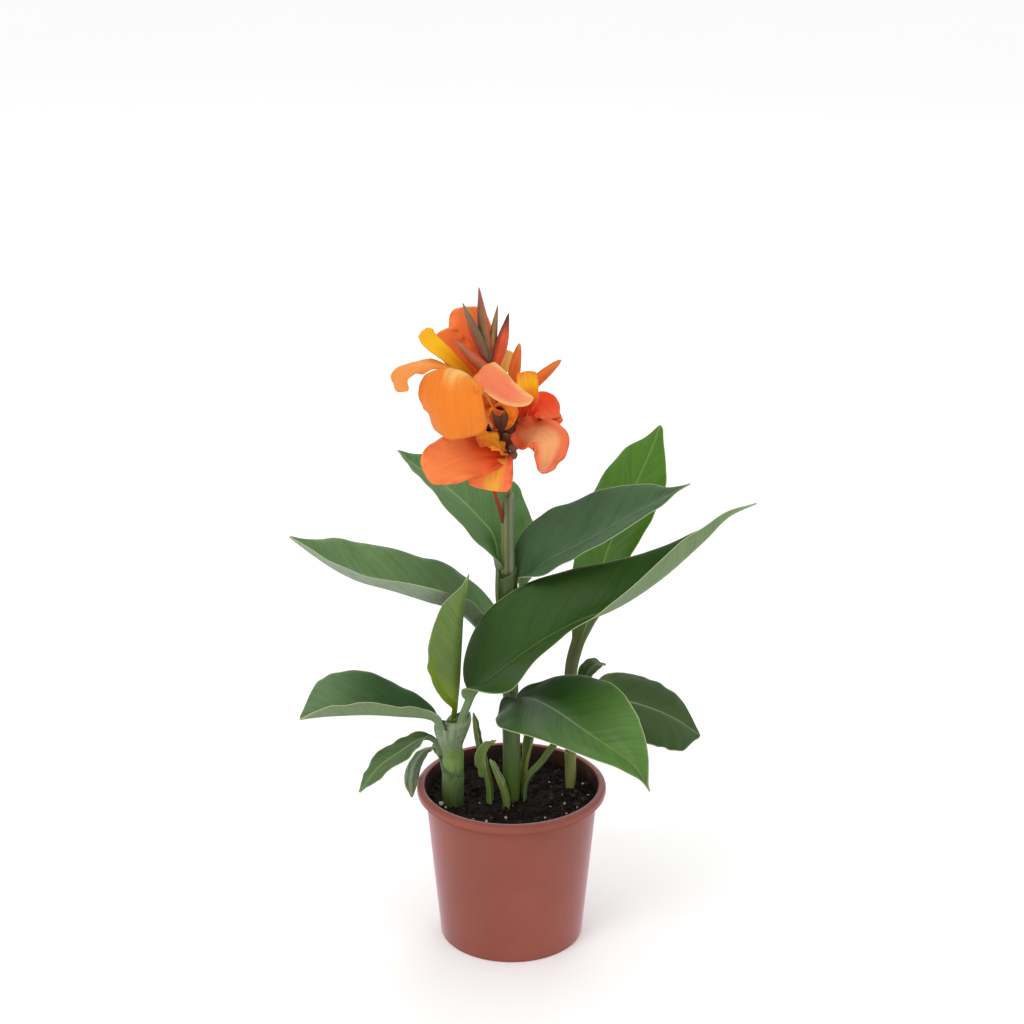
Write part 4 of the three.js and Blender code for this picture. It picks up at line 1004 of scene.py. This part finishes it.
class CannaStageSettings(bpy.types.PropertyGroup):
    """Floor, lights and camera."""

    floor: bpy.props.FloatVectorProperty(name="Floor colour", description="Colour of the plain floor", size=3,
                                         subtype="COLOR", default=(0.96, 0.96, 0.96))
    lens: bpy.props.FloatProperty(name="Lens", description="Focal length in millimetres on a 36 mm sensor",
                                  default=88.12, min=10, max=300)
    pitch: bpy.props.FloatProperty(name="Pitch", description="How far the camera looks down",
                                   default=math.radians(20.84), subtype="ANGLE")
    camera: bpy.props.FloatVectorProperty(name="Camera", description="Where the camera stands", size=3,
                                          subtype="TRANSLATION", default=(0.0004, -1.78201, 1.03798))


# ---------------------------------------------------------------- pot and soil

# Radii and heights of the pot, the sides of its round, and its ring of drain holes.
POT = dict(shoulder=67.8, mouth=68.8, foot=57.0, wall=1.6, floor=2.4, lip=7.0, turns=160, drain=4.0,
           drain_circle=46.0, drains=6)
SOIL_TOP = 114
SOIL_CROWN = 1.6
SOIL_LUMPS = 0.66
HEAPED = 5.0
# Loose bits on the soil: the setting that counts them, and their smallest and largest radius.
LITTER = dict(soil_crumbs=("crumbs", (0.5, 1.8)), bark_crumbs=("bark", (0.9, 3.0)),
              perlite_grains=("grains", (0.7, 2.3)))


def inner_radius(z, height):
    """The inside radius of the pot at one height."""
    return mix(POT["foot"] - POT["wall"], POT["mouth"], (z - POT["floor"]) / (height - 1 - POT["floor"]))


def soil_height(x, y):
    """The soil's lumpy top, a little heaped up against the wall."""
    far = math.hypot(x, y) / POT["mouth"]
    lumps = math.sin(x * 0.21 + 1.3) * math.cos(y * 0.17 + 0.4) + 0.6 * math.sin(x * 0.09 - y * 0.26 + 2.1)
    heap = SOIL_CROWN * (1 - 2 * far * far) + SOIL_LUMPS * lumps + HEAPED * smooth((far - 0.5) / 0.5)
    return SOIL_TOP + heap


class CANNA_OT_pot(bpy.types.Operator):
    """Turns the tapered pot with its rolled lip and drills its drain holes"""

    bl_idname = "canna.pot"
    bl_label = "Pot"

    def execute(self, context):
        settings = context.scene.canna_pot
        top, rim = settings.height / MM, settings.rim / MM
        foot, shoulder, mouth, floor = POT["foot"], POT["shoulder"], POT["mouth"], POT["floor"]
        under = top - POT["lip"]
        profile = [
            (0, 0), (foot - 1.5, 0), (foot - 0.45, 0.4), (foot, 1.5),
            (mix(foot, shoulder, 0.5), (under - 5) / 2),
            (shoulder, under - 5), (shoulder + 0.5, under - 3), (shoulder + 1.6, under - 1.5),
            (rim - 3, under - 0.4), (rim - 1.2, under + 0.2), (rim - 0.3, under + 0.8), (rim, under + 2),
            (rim, top - 2.6), (rim - 0.35, top - 1.4), (rim - 1.2, top - 0.6), (rim - 3, top),
            (mouth + 1.6, top), (mouth + 0.5, top - 0.35), (mouth, top - 1.2), (foot - POT["wall"], floor),
            (0, floor),
        ]
        bm = bmesh.new()
        spun(bm, profile, POT["turns"])
        for face in bm.faces:
            middle = face.calc_center_median()
            inwards = face.normal.x * middle.x + face.normal.y * middle.y < -0.5 * middle.xy.length
            face.material_index = 1 if inwards else 2 if face.normal.z < -0.1 else 0
        plastic = moulded_plastic("terracotta_plastic", settings.colour, settings.gloss, 0.9)
        # The inside carries painted shade, with soil stains near the soil.
        inside = shaded_stained_plastic("shaded_stained_plastic", settings.colour)
        dull = moulded_plastic("dull_plastic", settings.colour, 0.0, 0.0)
        pot = finish_object("nursery_pot", bm, [plastic, inside, dull], "pot")
        self.drill(pot)
        edge = pot.modifiers.new("soft edges", "WEIGHTED_NORMAL")
        edge.keep_sharp = True
        return {"FINISHED"}

    @staticmethod
    def drill(pot):
        """Cuts the drain holes with one set of plugs."""
        bm = bmesh.new()
        reach, radius = POT["drain_circle"] * MM, POT["drain"] * MM
        for index in range(POT["drains"]):
            angle = TAU * (index + 0.5) / POT["drains"]
            plug = bmesh.ops.create_cone(bm, cap_ends=True, segments=24, radius1=radius, radius2=radius,
                                         depth=POT["floor"] * 4 * MM)
            offset = (reach * math.cos(angle), reach * math.sin(angle), 0)
            bmesh.ops.translate(bm, verts=plug["verts"], vec=offset)
        plugs = placed("drain_plugs", bm)
        cut = pot.modifiers.new("drains", "BOOLEAN")
        cut.operation = "DIFFERENCE"
        cut.object = plugs
        with bpy.context.temp_override(object=pot, active_object=pot):
            bpy.ops.object.modifier_apply(modifier=cut.name)
        mesh = plugs.data
        bpy.data.objects.remove(plugs)
        bpy.data.meshes.remove(mesh)


class CANNA_OT_soil(bpy.types.Operator):
    """Fills the pot with soil and strews crumbs and perlite over it"""

    bl_idname = "canna.soil"
    bl_label = "Soil"
    rings = 46

    def execute(self, context):
        settings = context.scene.canna_soil
        height = context.scene.canna_pot.height / MM
        foot = POT["floor"] + GAP
        rim = inner_radius(SOIL_TOP, height) - GAP
        profile = [(rim * ring / self.rings, SOIL_TOP) for ring in range(self.rings + 1)]
        profile += [(inner_radius(foot, height) - GAP, foot), (0, foot)]
        bm = bmesh.new()
        for vert in spun(bm, profile, POT["turns"]):
            if vert.co.z > foot + 1:
                x, y = vert.co.xy
                edge = smooth((rim - math.hypot(x, y)) / 3)
                rough = noise.fractal(Vector((x, y, 3)) * 0.16, 0.8, 2.1, 5)
                fine = noise.noise(Vector((x, y, 9)) * 0.9)
                vert.co.z = soil_height(x, y) + (rough * 1.5 + fine * 0.5) * mix(0.3, 1, edge)
        bed = potting_mix("potting_mix", settings.colour)
        finish_object("soil_bed", bm, [bed], "soil")
        materials = (potting_mix("soil_crumb", brighter(settings.colour, 1.3)),
                     bark_crumb("bark_crumb", (0.04, 0.022, 0.014)),
                     mineral_grain("perlite", (0.5, 0.44, 0.33)))
        dice = random.Random(settings.seed)
        for (name, (count, sizes)), material in zip(LITTER.items(), materials):
            self.strew(name, getattr(settings, count), sizes, material, dice, rim - 2.5)
        return {"FINISHED"}

    @staticmethod
    def strew(name, count, sizes, material, dice, rim):
        """Scatters small rough lumps, half sunk in the soil."""
        bm = bmesh.new()
        for _ in range(count):
            reach, turn = rim * math.sqrt(dice.random()), dice.random() * TAU
            x, y = reach * math.cos(turn), reach * math.sin(turn)
            size = mix(*sizes, dice.random() ** 2)
            lump = bmesh.ops.create_icosphere(bm, subdivisions=1, radius=size)["verts"]
            bmesh.ops.scale(bm, verts=lump, vec=[mix(0.65, 1.25, dice.random()) for _ in range(3)])
            for vert in lump:
                vert.co *= mix(0.85, 1.15, dice.random())
            bmesh.ops.translate(bm, verts=lump, vec=(x, y, soil_height(x, y) + size * 0.2))
        finish_object(name, bm, [material], None, smooth_faces=False)


class CANNA_OT_rhizome(bpy.types.Operator):
    """Gives the buried root stock its corky skin"""

    bl_idname = "canna.rhizome"
    bl_label = "Rhizome"

    def execute(self, context):
        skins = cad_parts["rhizome"].data.materials
        skins.clear()
        skins.append(root_skin("rhizome_skin", (0.55, 0.42, 0.23)))
        return {"FINISHED"}


# ---------------------------------------------------------------- stems, leaves and shoots

STEM_TURNS = 40


def stem_profile(stem, rings=40):
    """A stem's side as [radius, height] points, closed at both ends."""
    low, high = stem["radius"][0][0], stem["radius"][-1][0]
    heights = [mix(low, high, ring / rings) for ring in range(rings + 1)]
    return [(0, low), *((value_at(stem["radius"], z), z) for z in heights), (0, high)]


def sheath_profile(radius, low, high, flare, straight, rings=16):
    """The wall of a sheath, which thins out at its foot and its lip and flares above its straight share."""
    outside, inside = [], []
    for ring in range(rings + 1):
        share = ring / rings
        z = mix(low, high, share)
        lip = 1 - 0.6 * smooth((share - 0.85) / 0.15)
        inner = value_at(radius, z) + GAP + flare * smooth((share - straight) / (1 - straight))
        outside.append((inner + mix(0.6, 1.6, smooth(share * 2.5)) * lip, z))
        inside.append((inner, z))
    return outside + inside[::-1]


class CANNA_OT_stems(bpy.types.Operator):
    """Turns the three stems"""

    bl_idname = "canna.stems"
    bl_label = "Stems"

    def execute(self, context):
        for name, stem in STEMS.items():
            bm = bmesh.new()
            lean(spun(bm, stem_profile(stem), STEM_TURNS), stem)
            skin = stem_skin(f"stem_skin_{name}", *stem["skin"])
            finish_object(f"{name}_stem", bm, [skin], f"stem_{name}")
        return {"FINISHED"}


class CANNA_OT_leaves(bpy.types.Operator):
    """Spreads the leaves, each with its channelled stalk and its sheath"""

    bl_idname = "canna.leaves"
    bl_label = "Leaves"

    def execute(self, context):
        settings = context.scene.canna_leaves
        for name, shape in LEAVES.items():
            materials = [leaf_upper(f"{name}_upper", **shape["upper"]),
                         leaf_under(f"{name}_under", **shape["under"]),
                         leaf_rim(f"{name}_rim", settings.rim, shape["under"]["colour"])]
            bm = bmesh.new()
            Blade(LEAF, shape).build(bm)
            leaf = finish_object(name.replace("leaf_", "blade_"), bm, materials, name)
            give_thickness(leaf, settings.thickness / MM)
            if "sheath" in shape:
                self.wrap(name, shape, STEMS[shape["stem"]])
        return {"FINISHED"}

    @staticmethod
    def wrap(name, shape, stem):
        """The sheath at the foot of a leaf's stalk."""
        low, high, slant, towards, tucked, flare, straight, mouth = shape["sheath"]
        low -= tucked
        bm = bmesh.new()
        verts = spun(bm, sheath_profile(stem["radius"], low, high, flare, straight), STEM_TURNS, closed=True)
        start = Vector(shape["path"][0])
        side = (start - Route(stem["path"]).at_height(start.z)).normalized()
        for vert in verts:
            share = (vert.co.z - low) / (high - low)
            vert.co += side * mouth * smooth((share - straight) / (1 - straight))
        lean(verts, stem, slant, towards, notched=True)
        skin = stem_skin(f"{name}_sheath_skin", **shape.get("wrap", stem["wrap"]))
        finish_object(name.replace("leaf_", "sheath_"), bm, [skin], name)


class CANNA_OT_sprouts(bpy.types.Operator):
    """Stands the young shoots in the soil"""

    bl_idname = "canna.sprouts"
    bl_label = "Young shoots"

    def execute(self, context):
        settings = context.scene.canna_leaves
        for name, (upper, under, base, stalk, leaves) in SPROUTS.items():
            materials = [leaf_upper(f"{name}_upper", upper, base), leaf_under(f"{name}_under", under),
                         leaf_rim(f"{name}_rim", brighter(under, 1.2), under)]
            bm = bmesh.new()
            for shape in leaves:
                Blade(dict(SPROUT, stalkHalf=stalk), shape).build(bm)
            shoot = finish_object(name.replace("sprout_", "shoot_"), bm, materials, name)
            give_thickness(shoot, settings.thickness / MM)
        return {"FINISHED"}


# ---------------------------------------------------------------- the flower head

BRACT_THICKNESS = 1.1
# The widest half of a petal that is built as a small one.
NARROW_PETAL = 5
# A bloom's throat: how far it reaches past its two ends, and its side as [radius, share of the length].
THROAT_REACH = 1.5
THROAT_PROFILE = [(0, 0), (1.5, 0.0), (1.8, 0.1), (2.1, 0.5), (2.4, 1), (0, 1)]


class CANNA_OT_stalk_sheath(bpy.types.Operator):
    """Wraps the flower stalk in its grey-green bract, with the thin red one on it"""

    bl_idname = "canna.stalk_sheath"
    bl_label = "Stalk sheath"
    rings = 14

    def execute(self, context):
        shape, main = STALK_SHEATH, STEMS["main"]
        low, high = shape["low"], shape["high"]
        outside, inside = [], []
        for ring in range(self.rings + 1):
            z = mix(low, high, ring / self.rings)
            inner = max(value_at(main["radius"], z), value_at(AXIS["radius"], z)) + GAP
            outside.append((inner + shape["wall"] * (1 - 0.5 * smooth((z - high + 5) / 5)), z))
            inside.append((inner, z))
        bm = bmesh.new()
        lean(spun(bm, outside + inside[::-1], STEM_TURNS, closed=True),
             Route(main["path"][3:] + AXIS["path"][1:3]), shape["slant"], shape["towards"])
        skin = striped_skin("stalk_sheath_skin", *STALK_STRIPES)
        finish_object("flower_stalk_sheath", bm, [skin], "stalk_sheath")
        bm = bmesh.new()
        Blade(BRACT, RED_BRACT).build(bm)
        stops = [(0.0, 0.2, 0.03, 0.02), (0.5, 0.3, 0.035, 0.02), (1.0, 0.5, 0.05, 0.03)]
        red = petal_face("red_bract", stops, (0.12, 0.02, 0.015))
        bract = finish_object("red_bract", bm, [red, red, red], "stalk_sheath")
        give_thickness(bract, BRACT_THICKNESS)
        return {"FINISHED"}


class CANNA_OT_raceme(bpy.types.Operator):
    """Builds the flower stalk with its ovaries, bracts and pointed buds"""

    bl_idname = "canna.raceme"
    bl_label = "Flower stalk and buds"
    turns = 24

    def execute(self, context):
        bm = bmesh.new()
        lean(spun(bm, stem_profile(AXIS), self.turns), AXIS)
        skin = striped_skin("flower_stalk_skin", *STALK_STRIPES)
        finish_object("flower_stalk", bm, [skin], "raceme")
        for index, (path, size, colours) in enumerate(BUDS):
            bm = bmesh.new()
            profile = [(radius * size, share) for radius, share in BUD_PROFILE]
            bent_along(bm, Route(path), profile, self.turns)
            skin = bud_skin(f"bud_skin_{index + 1}", *colours)
            finish_object(f"bud_{index + 1}", bm, [skin], "raceme")
        self.ovaries()
        self.bracts()
        return {"FINISHED"}

    @staticmethod
    def ovaries():
        bm = bmesh.new()
        for middle, radius in OVARIES:
            knob = bmesh.ops.create_uvsphere(bm, u_segments=20, v_segments=14, radius=radius)["verts"]
            bmesh.ops.scale(bm, verts=knob, vec=(1, 1, 1.2))
            bmesh.ops.translate(bm, verts=knob, vec=middle)
        skin = warty_skin("ovary_skin", (0.22, 0.09, 0.05), (0.4, 0.16, 0.06))
        finish_object("ovaries", bm, [skin], "raceme")

    @staticmethod
    def bracts():
        bm = bmesh.new()
        for bract in BRACTS:
            Blade(BRACT, bract).build(bm)
        stops = [(0.0, 0.05, 0.02, 0.012), (0.6, 0.09, 0.03, 0.018), (1.0, 0.16, 0.07, 0.04)]
        skin = petal_face("maroon_bract", stops, (0.04, 0.012, 0.01))
        piece = finish_object("bracts", bm, [skin, skin, skin], "raceme")
        give_thickness(piece, BRACT_THICKNESS)


def petal_looks(orange, yellow):
    """For each look of a petal its colours from throat to tip, its flush and the flush's share."""
    return dict(
        orange=dict(
            stops=[(0.0, 0.5, 0.07, 0.01), (0.25, 0.72, 0.2, 0.02), (0.5, 0.7, 0.23, 0.03), (0.7, *orange),
                   (1.0, 0.73, 0.2, 0.02)],
            # The top of its bend carries a painted highlight.
            flush=(0.7, 0.125, 0.006), flush_share=0.5, painted_highlight=((0.56, 0.45, 0.2), (0.73, 0.45, 0.13))),
        flank=dict(
            stops=[(0.0, 0.05, 0.015, 0.01), (0.12, 0.2, 0.04, 0.012), (0.26, 0.85, 0.2, 0.01),
                   (1.0, 0.9, 0.26, 0.02)],
            flush=(0.8, 0.12, 0.01), flush_share=0.4),
        salmon=dict(
            stops=[(0.0, 0.7, 0.18, 0.028), (0.4, 0.74, 0.27, 0.06), (0.62, 0.73, 0.19, 0.08),
                   (0.85, 0.72, 0.19, 0.09), (1.0, 0.74, 0.3, 0.13)],
            flush=(0.7, 0.13, 0.055), flush_share=0.55, edge=(0.78, 0.5, 0.19)),
        pale_salmon=dict(
            stops=[(0.0, 0.66, 0.09, 0.025), (0.35, 0.71, 0.15, 0.05), (0.8, 0.72, 0.16, 0.06),
                   (1.0, 0.74, 0.24, 0.13)],
            flush=(0.69, 0.12, 0.045), flush_share=0.25, edge=(0.68, 0.1, 0.035),
            # Its pale middle is a painted highlight.
            painted_highlight=((0.42, 0.52, 0.4), (0.76, 0.35, 0.14))),
        apricot=dict(
            stops=[(0.0, 0.66, 0.12, 0.01), (0.3, 0.74, 0.34, 0.02), (0.6, 0.73, 0.26, 0.04),
                   (1.0, 0.73, 0.26, 0.06)],
            flush=(0.72, 0.16, 0.03), flush_share=0.4),
        cup=dict(
            stops=[(0.0, 0.6, 0.03, 0.008), (0.5, 0.72, 0.06, 0.01), (0.64, 0.82, 0.26, 0.015),
                   (0.8, 0.86, 0.5, 0.01), (1.0, 0.8, 0.27, 0.03)],
            flush=(0.78, 0.18, 0.015), flush_share=0.4),
        coral=dict(
            stops=[(0.0, 0.6, 0.03, 0.01), (0.22, 0.78, 0.1, 0.02), (0.55, 0.8, 0.19, 0.05),
                   (1.0, 0.82, 0.23, 0.065)],
            flush=(0.8, 0.11, 0.025), flush_share=0.5),
        blush=dict(
            stops=[(0.0, 0.6, 0.04, 0.01), (0.3, 0.88, 0.16, 0.03), (0.6, 0.92, 0.21, 0.05),
                   (1.0, 0.94, 0.28, 0.08)],
            flush=(0.9, 0.11, 0.025), flush_share=0.5),
        striped=dict(
            stops=[(0.0, 0.7, 0.07, 0.014), (0.3, 0.88, 0.17, 0.06), (1.0, 0.88, 0.2, 0.07)],
            flush=(0.86, 0.11, 0.035), flush_share=0.45, stripe=(0.8, 0.4, 0.03)),
        red=dict(
            stops=[(0.0, 0.3, 0.02, 0.006), (0.3, 0.8, 0.04, 0.005), (0.6, 0.78, 0.055, 0.01),
                   (1.0, 0.72, 0.12, 0.03)],
            flush=(0.74, 0.03, 0.008), flush_share=0.35),
        golden=dict(
            stops=[(0.0, 0.66, 0.1, 0.012), (0.35, 0.82, 0.34, 0.014), (0.7, 0.82, 0.34, 0.02),
                   (1.0, 0.8, 0.18, 0.03)],
            flush=(0.78, 0.13, 0.018), flush_share=0.6),
        yellow=dict(
            stops=[(0.0, 0.76, 0.24, 0.014), (0.3, *yellow), (0.8, 0.86, 0.52, 0.01), (1.0, 0.82, 0.4, 0.02)],
            flush=(0.82, 0.34, 0.012), flush_share=0.4),
        pale_yellow=dict(
            stops=[(0.0, 0.8, 0.3, 0.04), (0.4, 1.0, 0.68, 0.14), (1.0, 1.0, 0.72, 0.2)],
            flush=(1.0, 0.56, 0.1), flush_share=0.25),
        sepal=dict(
            stops=[(0.0, 0.5, 0.06, 0.02), (0.4, 0.74, 0.16, 0.022), (1.0, 0.72, 0.24, 0.05)],
            flush=(0.5, 0.05, 0.02), flush_share=0.85),
    )


class CANNA_OT_blooms(bpy.types.Operator):
    """Opens the blooms, petal by petal"""

    bl_idname = "canna.blooms"
    bl_label = "Blooms"

    def execute(self, context):
        settings = context.scene.canna_flower
        skins = {name: petal_face(f"petal_{name}", **look)
                 for name, look in petal_looks(settings.orange, settings.yellow).items()}
        rim = leaf_rim("petal_rim", (0.72, 0.26, 0.09), (0.5, 0.06, 0.02))
        stops = [(0.0, 0.12, 0.04, 0.02), (1.0, 0.4, 0.1, 0.02)]
        throat = petal_face("bloom_throat", stops, (0.3, 0.03, 0.01))
        for name, (foot, start, end, petals) in BLOOMS.items():
            for index, shape in enumerate(petals):
                bm = bmesh.new()
                small = both(shape["half"])[0] <= NARROW_PETAL
                Blade(SMALL if small else PETAL, {**shape, "path": [foot, *shape["path"]]}).build(bm)
                skin = skins[shape["look"]]
                petal = finish_object(f"{name}_petal_{index + 1}", bm, [skin, skin, rim], name)
                give_thickness(petal, settings.thickness / MM)
            start, end = Vector(start), Vector(end)
            reach = (end - start).normalized() * THROAT_REACH
            bm = bmesh.new()
            bent_along(bm, Route([start - reach, (start + end) / 2, end + reach]), THROAT_PROFILE, 20)
            finish_object(f"{name}_throat", bm, [throat], name)
        return {"FINISHED"}


# ---------------------------------------------------------------- stage

# Soft round lights: place, size and power. They all aim at the middle of the plant.
LIGHTS = dict(key_light=((-1.3, -1.7, 2.4), 1.2, 22), fill_light=((1.9, -1.5, 1.4), 1.8, 6),
              back_light=((0.4, 1.9, 1.9), 1.6, 10))
AIM = Vector((0, 0, 0.28))
FLOOR_HALF = 12


class CANNA_OT_stage(bpy.types.Operator):
    """Lays the plain floor and sets the soft lights and the camera"""

    bl_idname = "canna.stage"
    bl_label = "Stage"

    def execute(self, context):
        settings = context.scene.canna_stage
        bm = bmesh.new()
        bmesh.ops.create_grid(bm, x_segments=2, y_segments=2, size=FLOOR_HALF)
        floor = placed("studio_floor", bm, [studio_floor("studio_floor", settings.floor)])
        for name, values in LIGHTS.items():
            self.light(name, *values)
        world = bpy.data.worlds.new("studio")
        world.use_nodes = True
        sky = world.node_tree.nodes["Background"]
        sky.inputs["Color"].default_value = (1, 1, 1, 1)
        sky.inputs["Strength"].default_value = 1.0
        context.scene.world = world
        self.camera(context.scene, settings)
        context.scene.view_settings.view_transform = "Standard"
        return {"FINISHED"}

    @staticmethod
    def light(name, place, size, power):
        lamp = bpy.data.lights.new(name, "AREA")
        lamp.shape = "DISK"
        lamp.size = size
        lamp.energy = power
        holder = bpy.data.objects.new(name, lamp)
        holder.location = place
        holder.rotation_euler = (AIM - holder.location).to_track_quat("-Z", "Y").to_euler()
        bpy.context.scene.collection.objects.link(holder)

    @staticmethod
    def camera(scene, settings):
        data = bpy.data.cameras.new("camera")
        data.lens = settings.lens
        data.sensor_width = 36
        data.clip_end = 100
        camera = bpy.data.objects.new("camera", data)
        camera.location = settings.camera
        camera.rotation_euler = (math.pi / 2 - settings.pitch, 0, 0)
        scene.collection.objects.link(camera)
        scene.camera = camera


# ---------------------------------------------------------------- add-on

BUILDERS = [CANNA_OT_pot, CANNA_OT_soil, CANNA_OT_rhizome, CANNA_OT_stems, CANNA_OT_leaves, CANNA_OT_sprouts,
            CANNA_OT_stalk_sheath, CANNA_OT_raceme, CANNA_OT_blooms, CANNA_OT_stage]
SETTINGS = dict(canna_pot=CannaPotSettings, canna_soil=CannaSoilSettings, canna_leaves=CannaLeafSettings,
                canna_flower=CannaFlowerSettings, canna_stage=CannaStageSettings)


class CANNA_PT_panel(bpy.types.Panel):
    """Lists the plant's settings and the operators that build it"""

    bl_label = "Potted canna"
    bl_idname = "CANNA_PT_panel"
    bl_space_type = "VIEW_3D"
    bl_region_type = "UI"
    bl_category = "Canna"

    def draw(self, context):
        for name in SETTINGS:
            box = self.layout.box()
            group = getattr(context.scene, name)
            for prop in group.bl_rna.properties:
                if prop.identifier not in ("rna_type", "name"):
                    box.prop(group, prop.identifier)
        for builder in BUILDERS:
            self.layout.operator(builder.bl_idname)


def register():
    for group in SETTINGS.values():
        bpy.utils.register_class(group)
    for name, group in SETTINGS.items():
        setattr(bpy.types.Scene, name, bpy.props.PointerProperty(type=group))
    for builder in BUILDERS:
        bpy.utils.register_class(builder)
    bpy.utils.register_class(CANNA_PT_panel)


def unregister():
    bpy.utils.unregister_class(CANNA_PT_panel)
    for builder in reversed(BUILDERS):
        bpy.utils.unregister_class(builder)
    for name, group in SETTINGS.items():
        delattr(bpy.types.Scene, name)
        bpy.utils.unregister_class(group)


def main():
    register()
    for builder in BUILDERS:
        group, action = builder.bl_idname.split(".")
        getattr(getattr(bpy.ops, group), action)()
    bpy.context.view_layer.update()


if __name__ == "__main__":
    main()
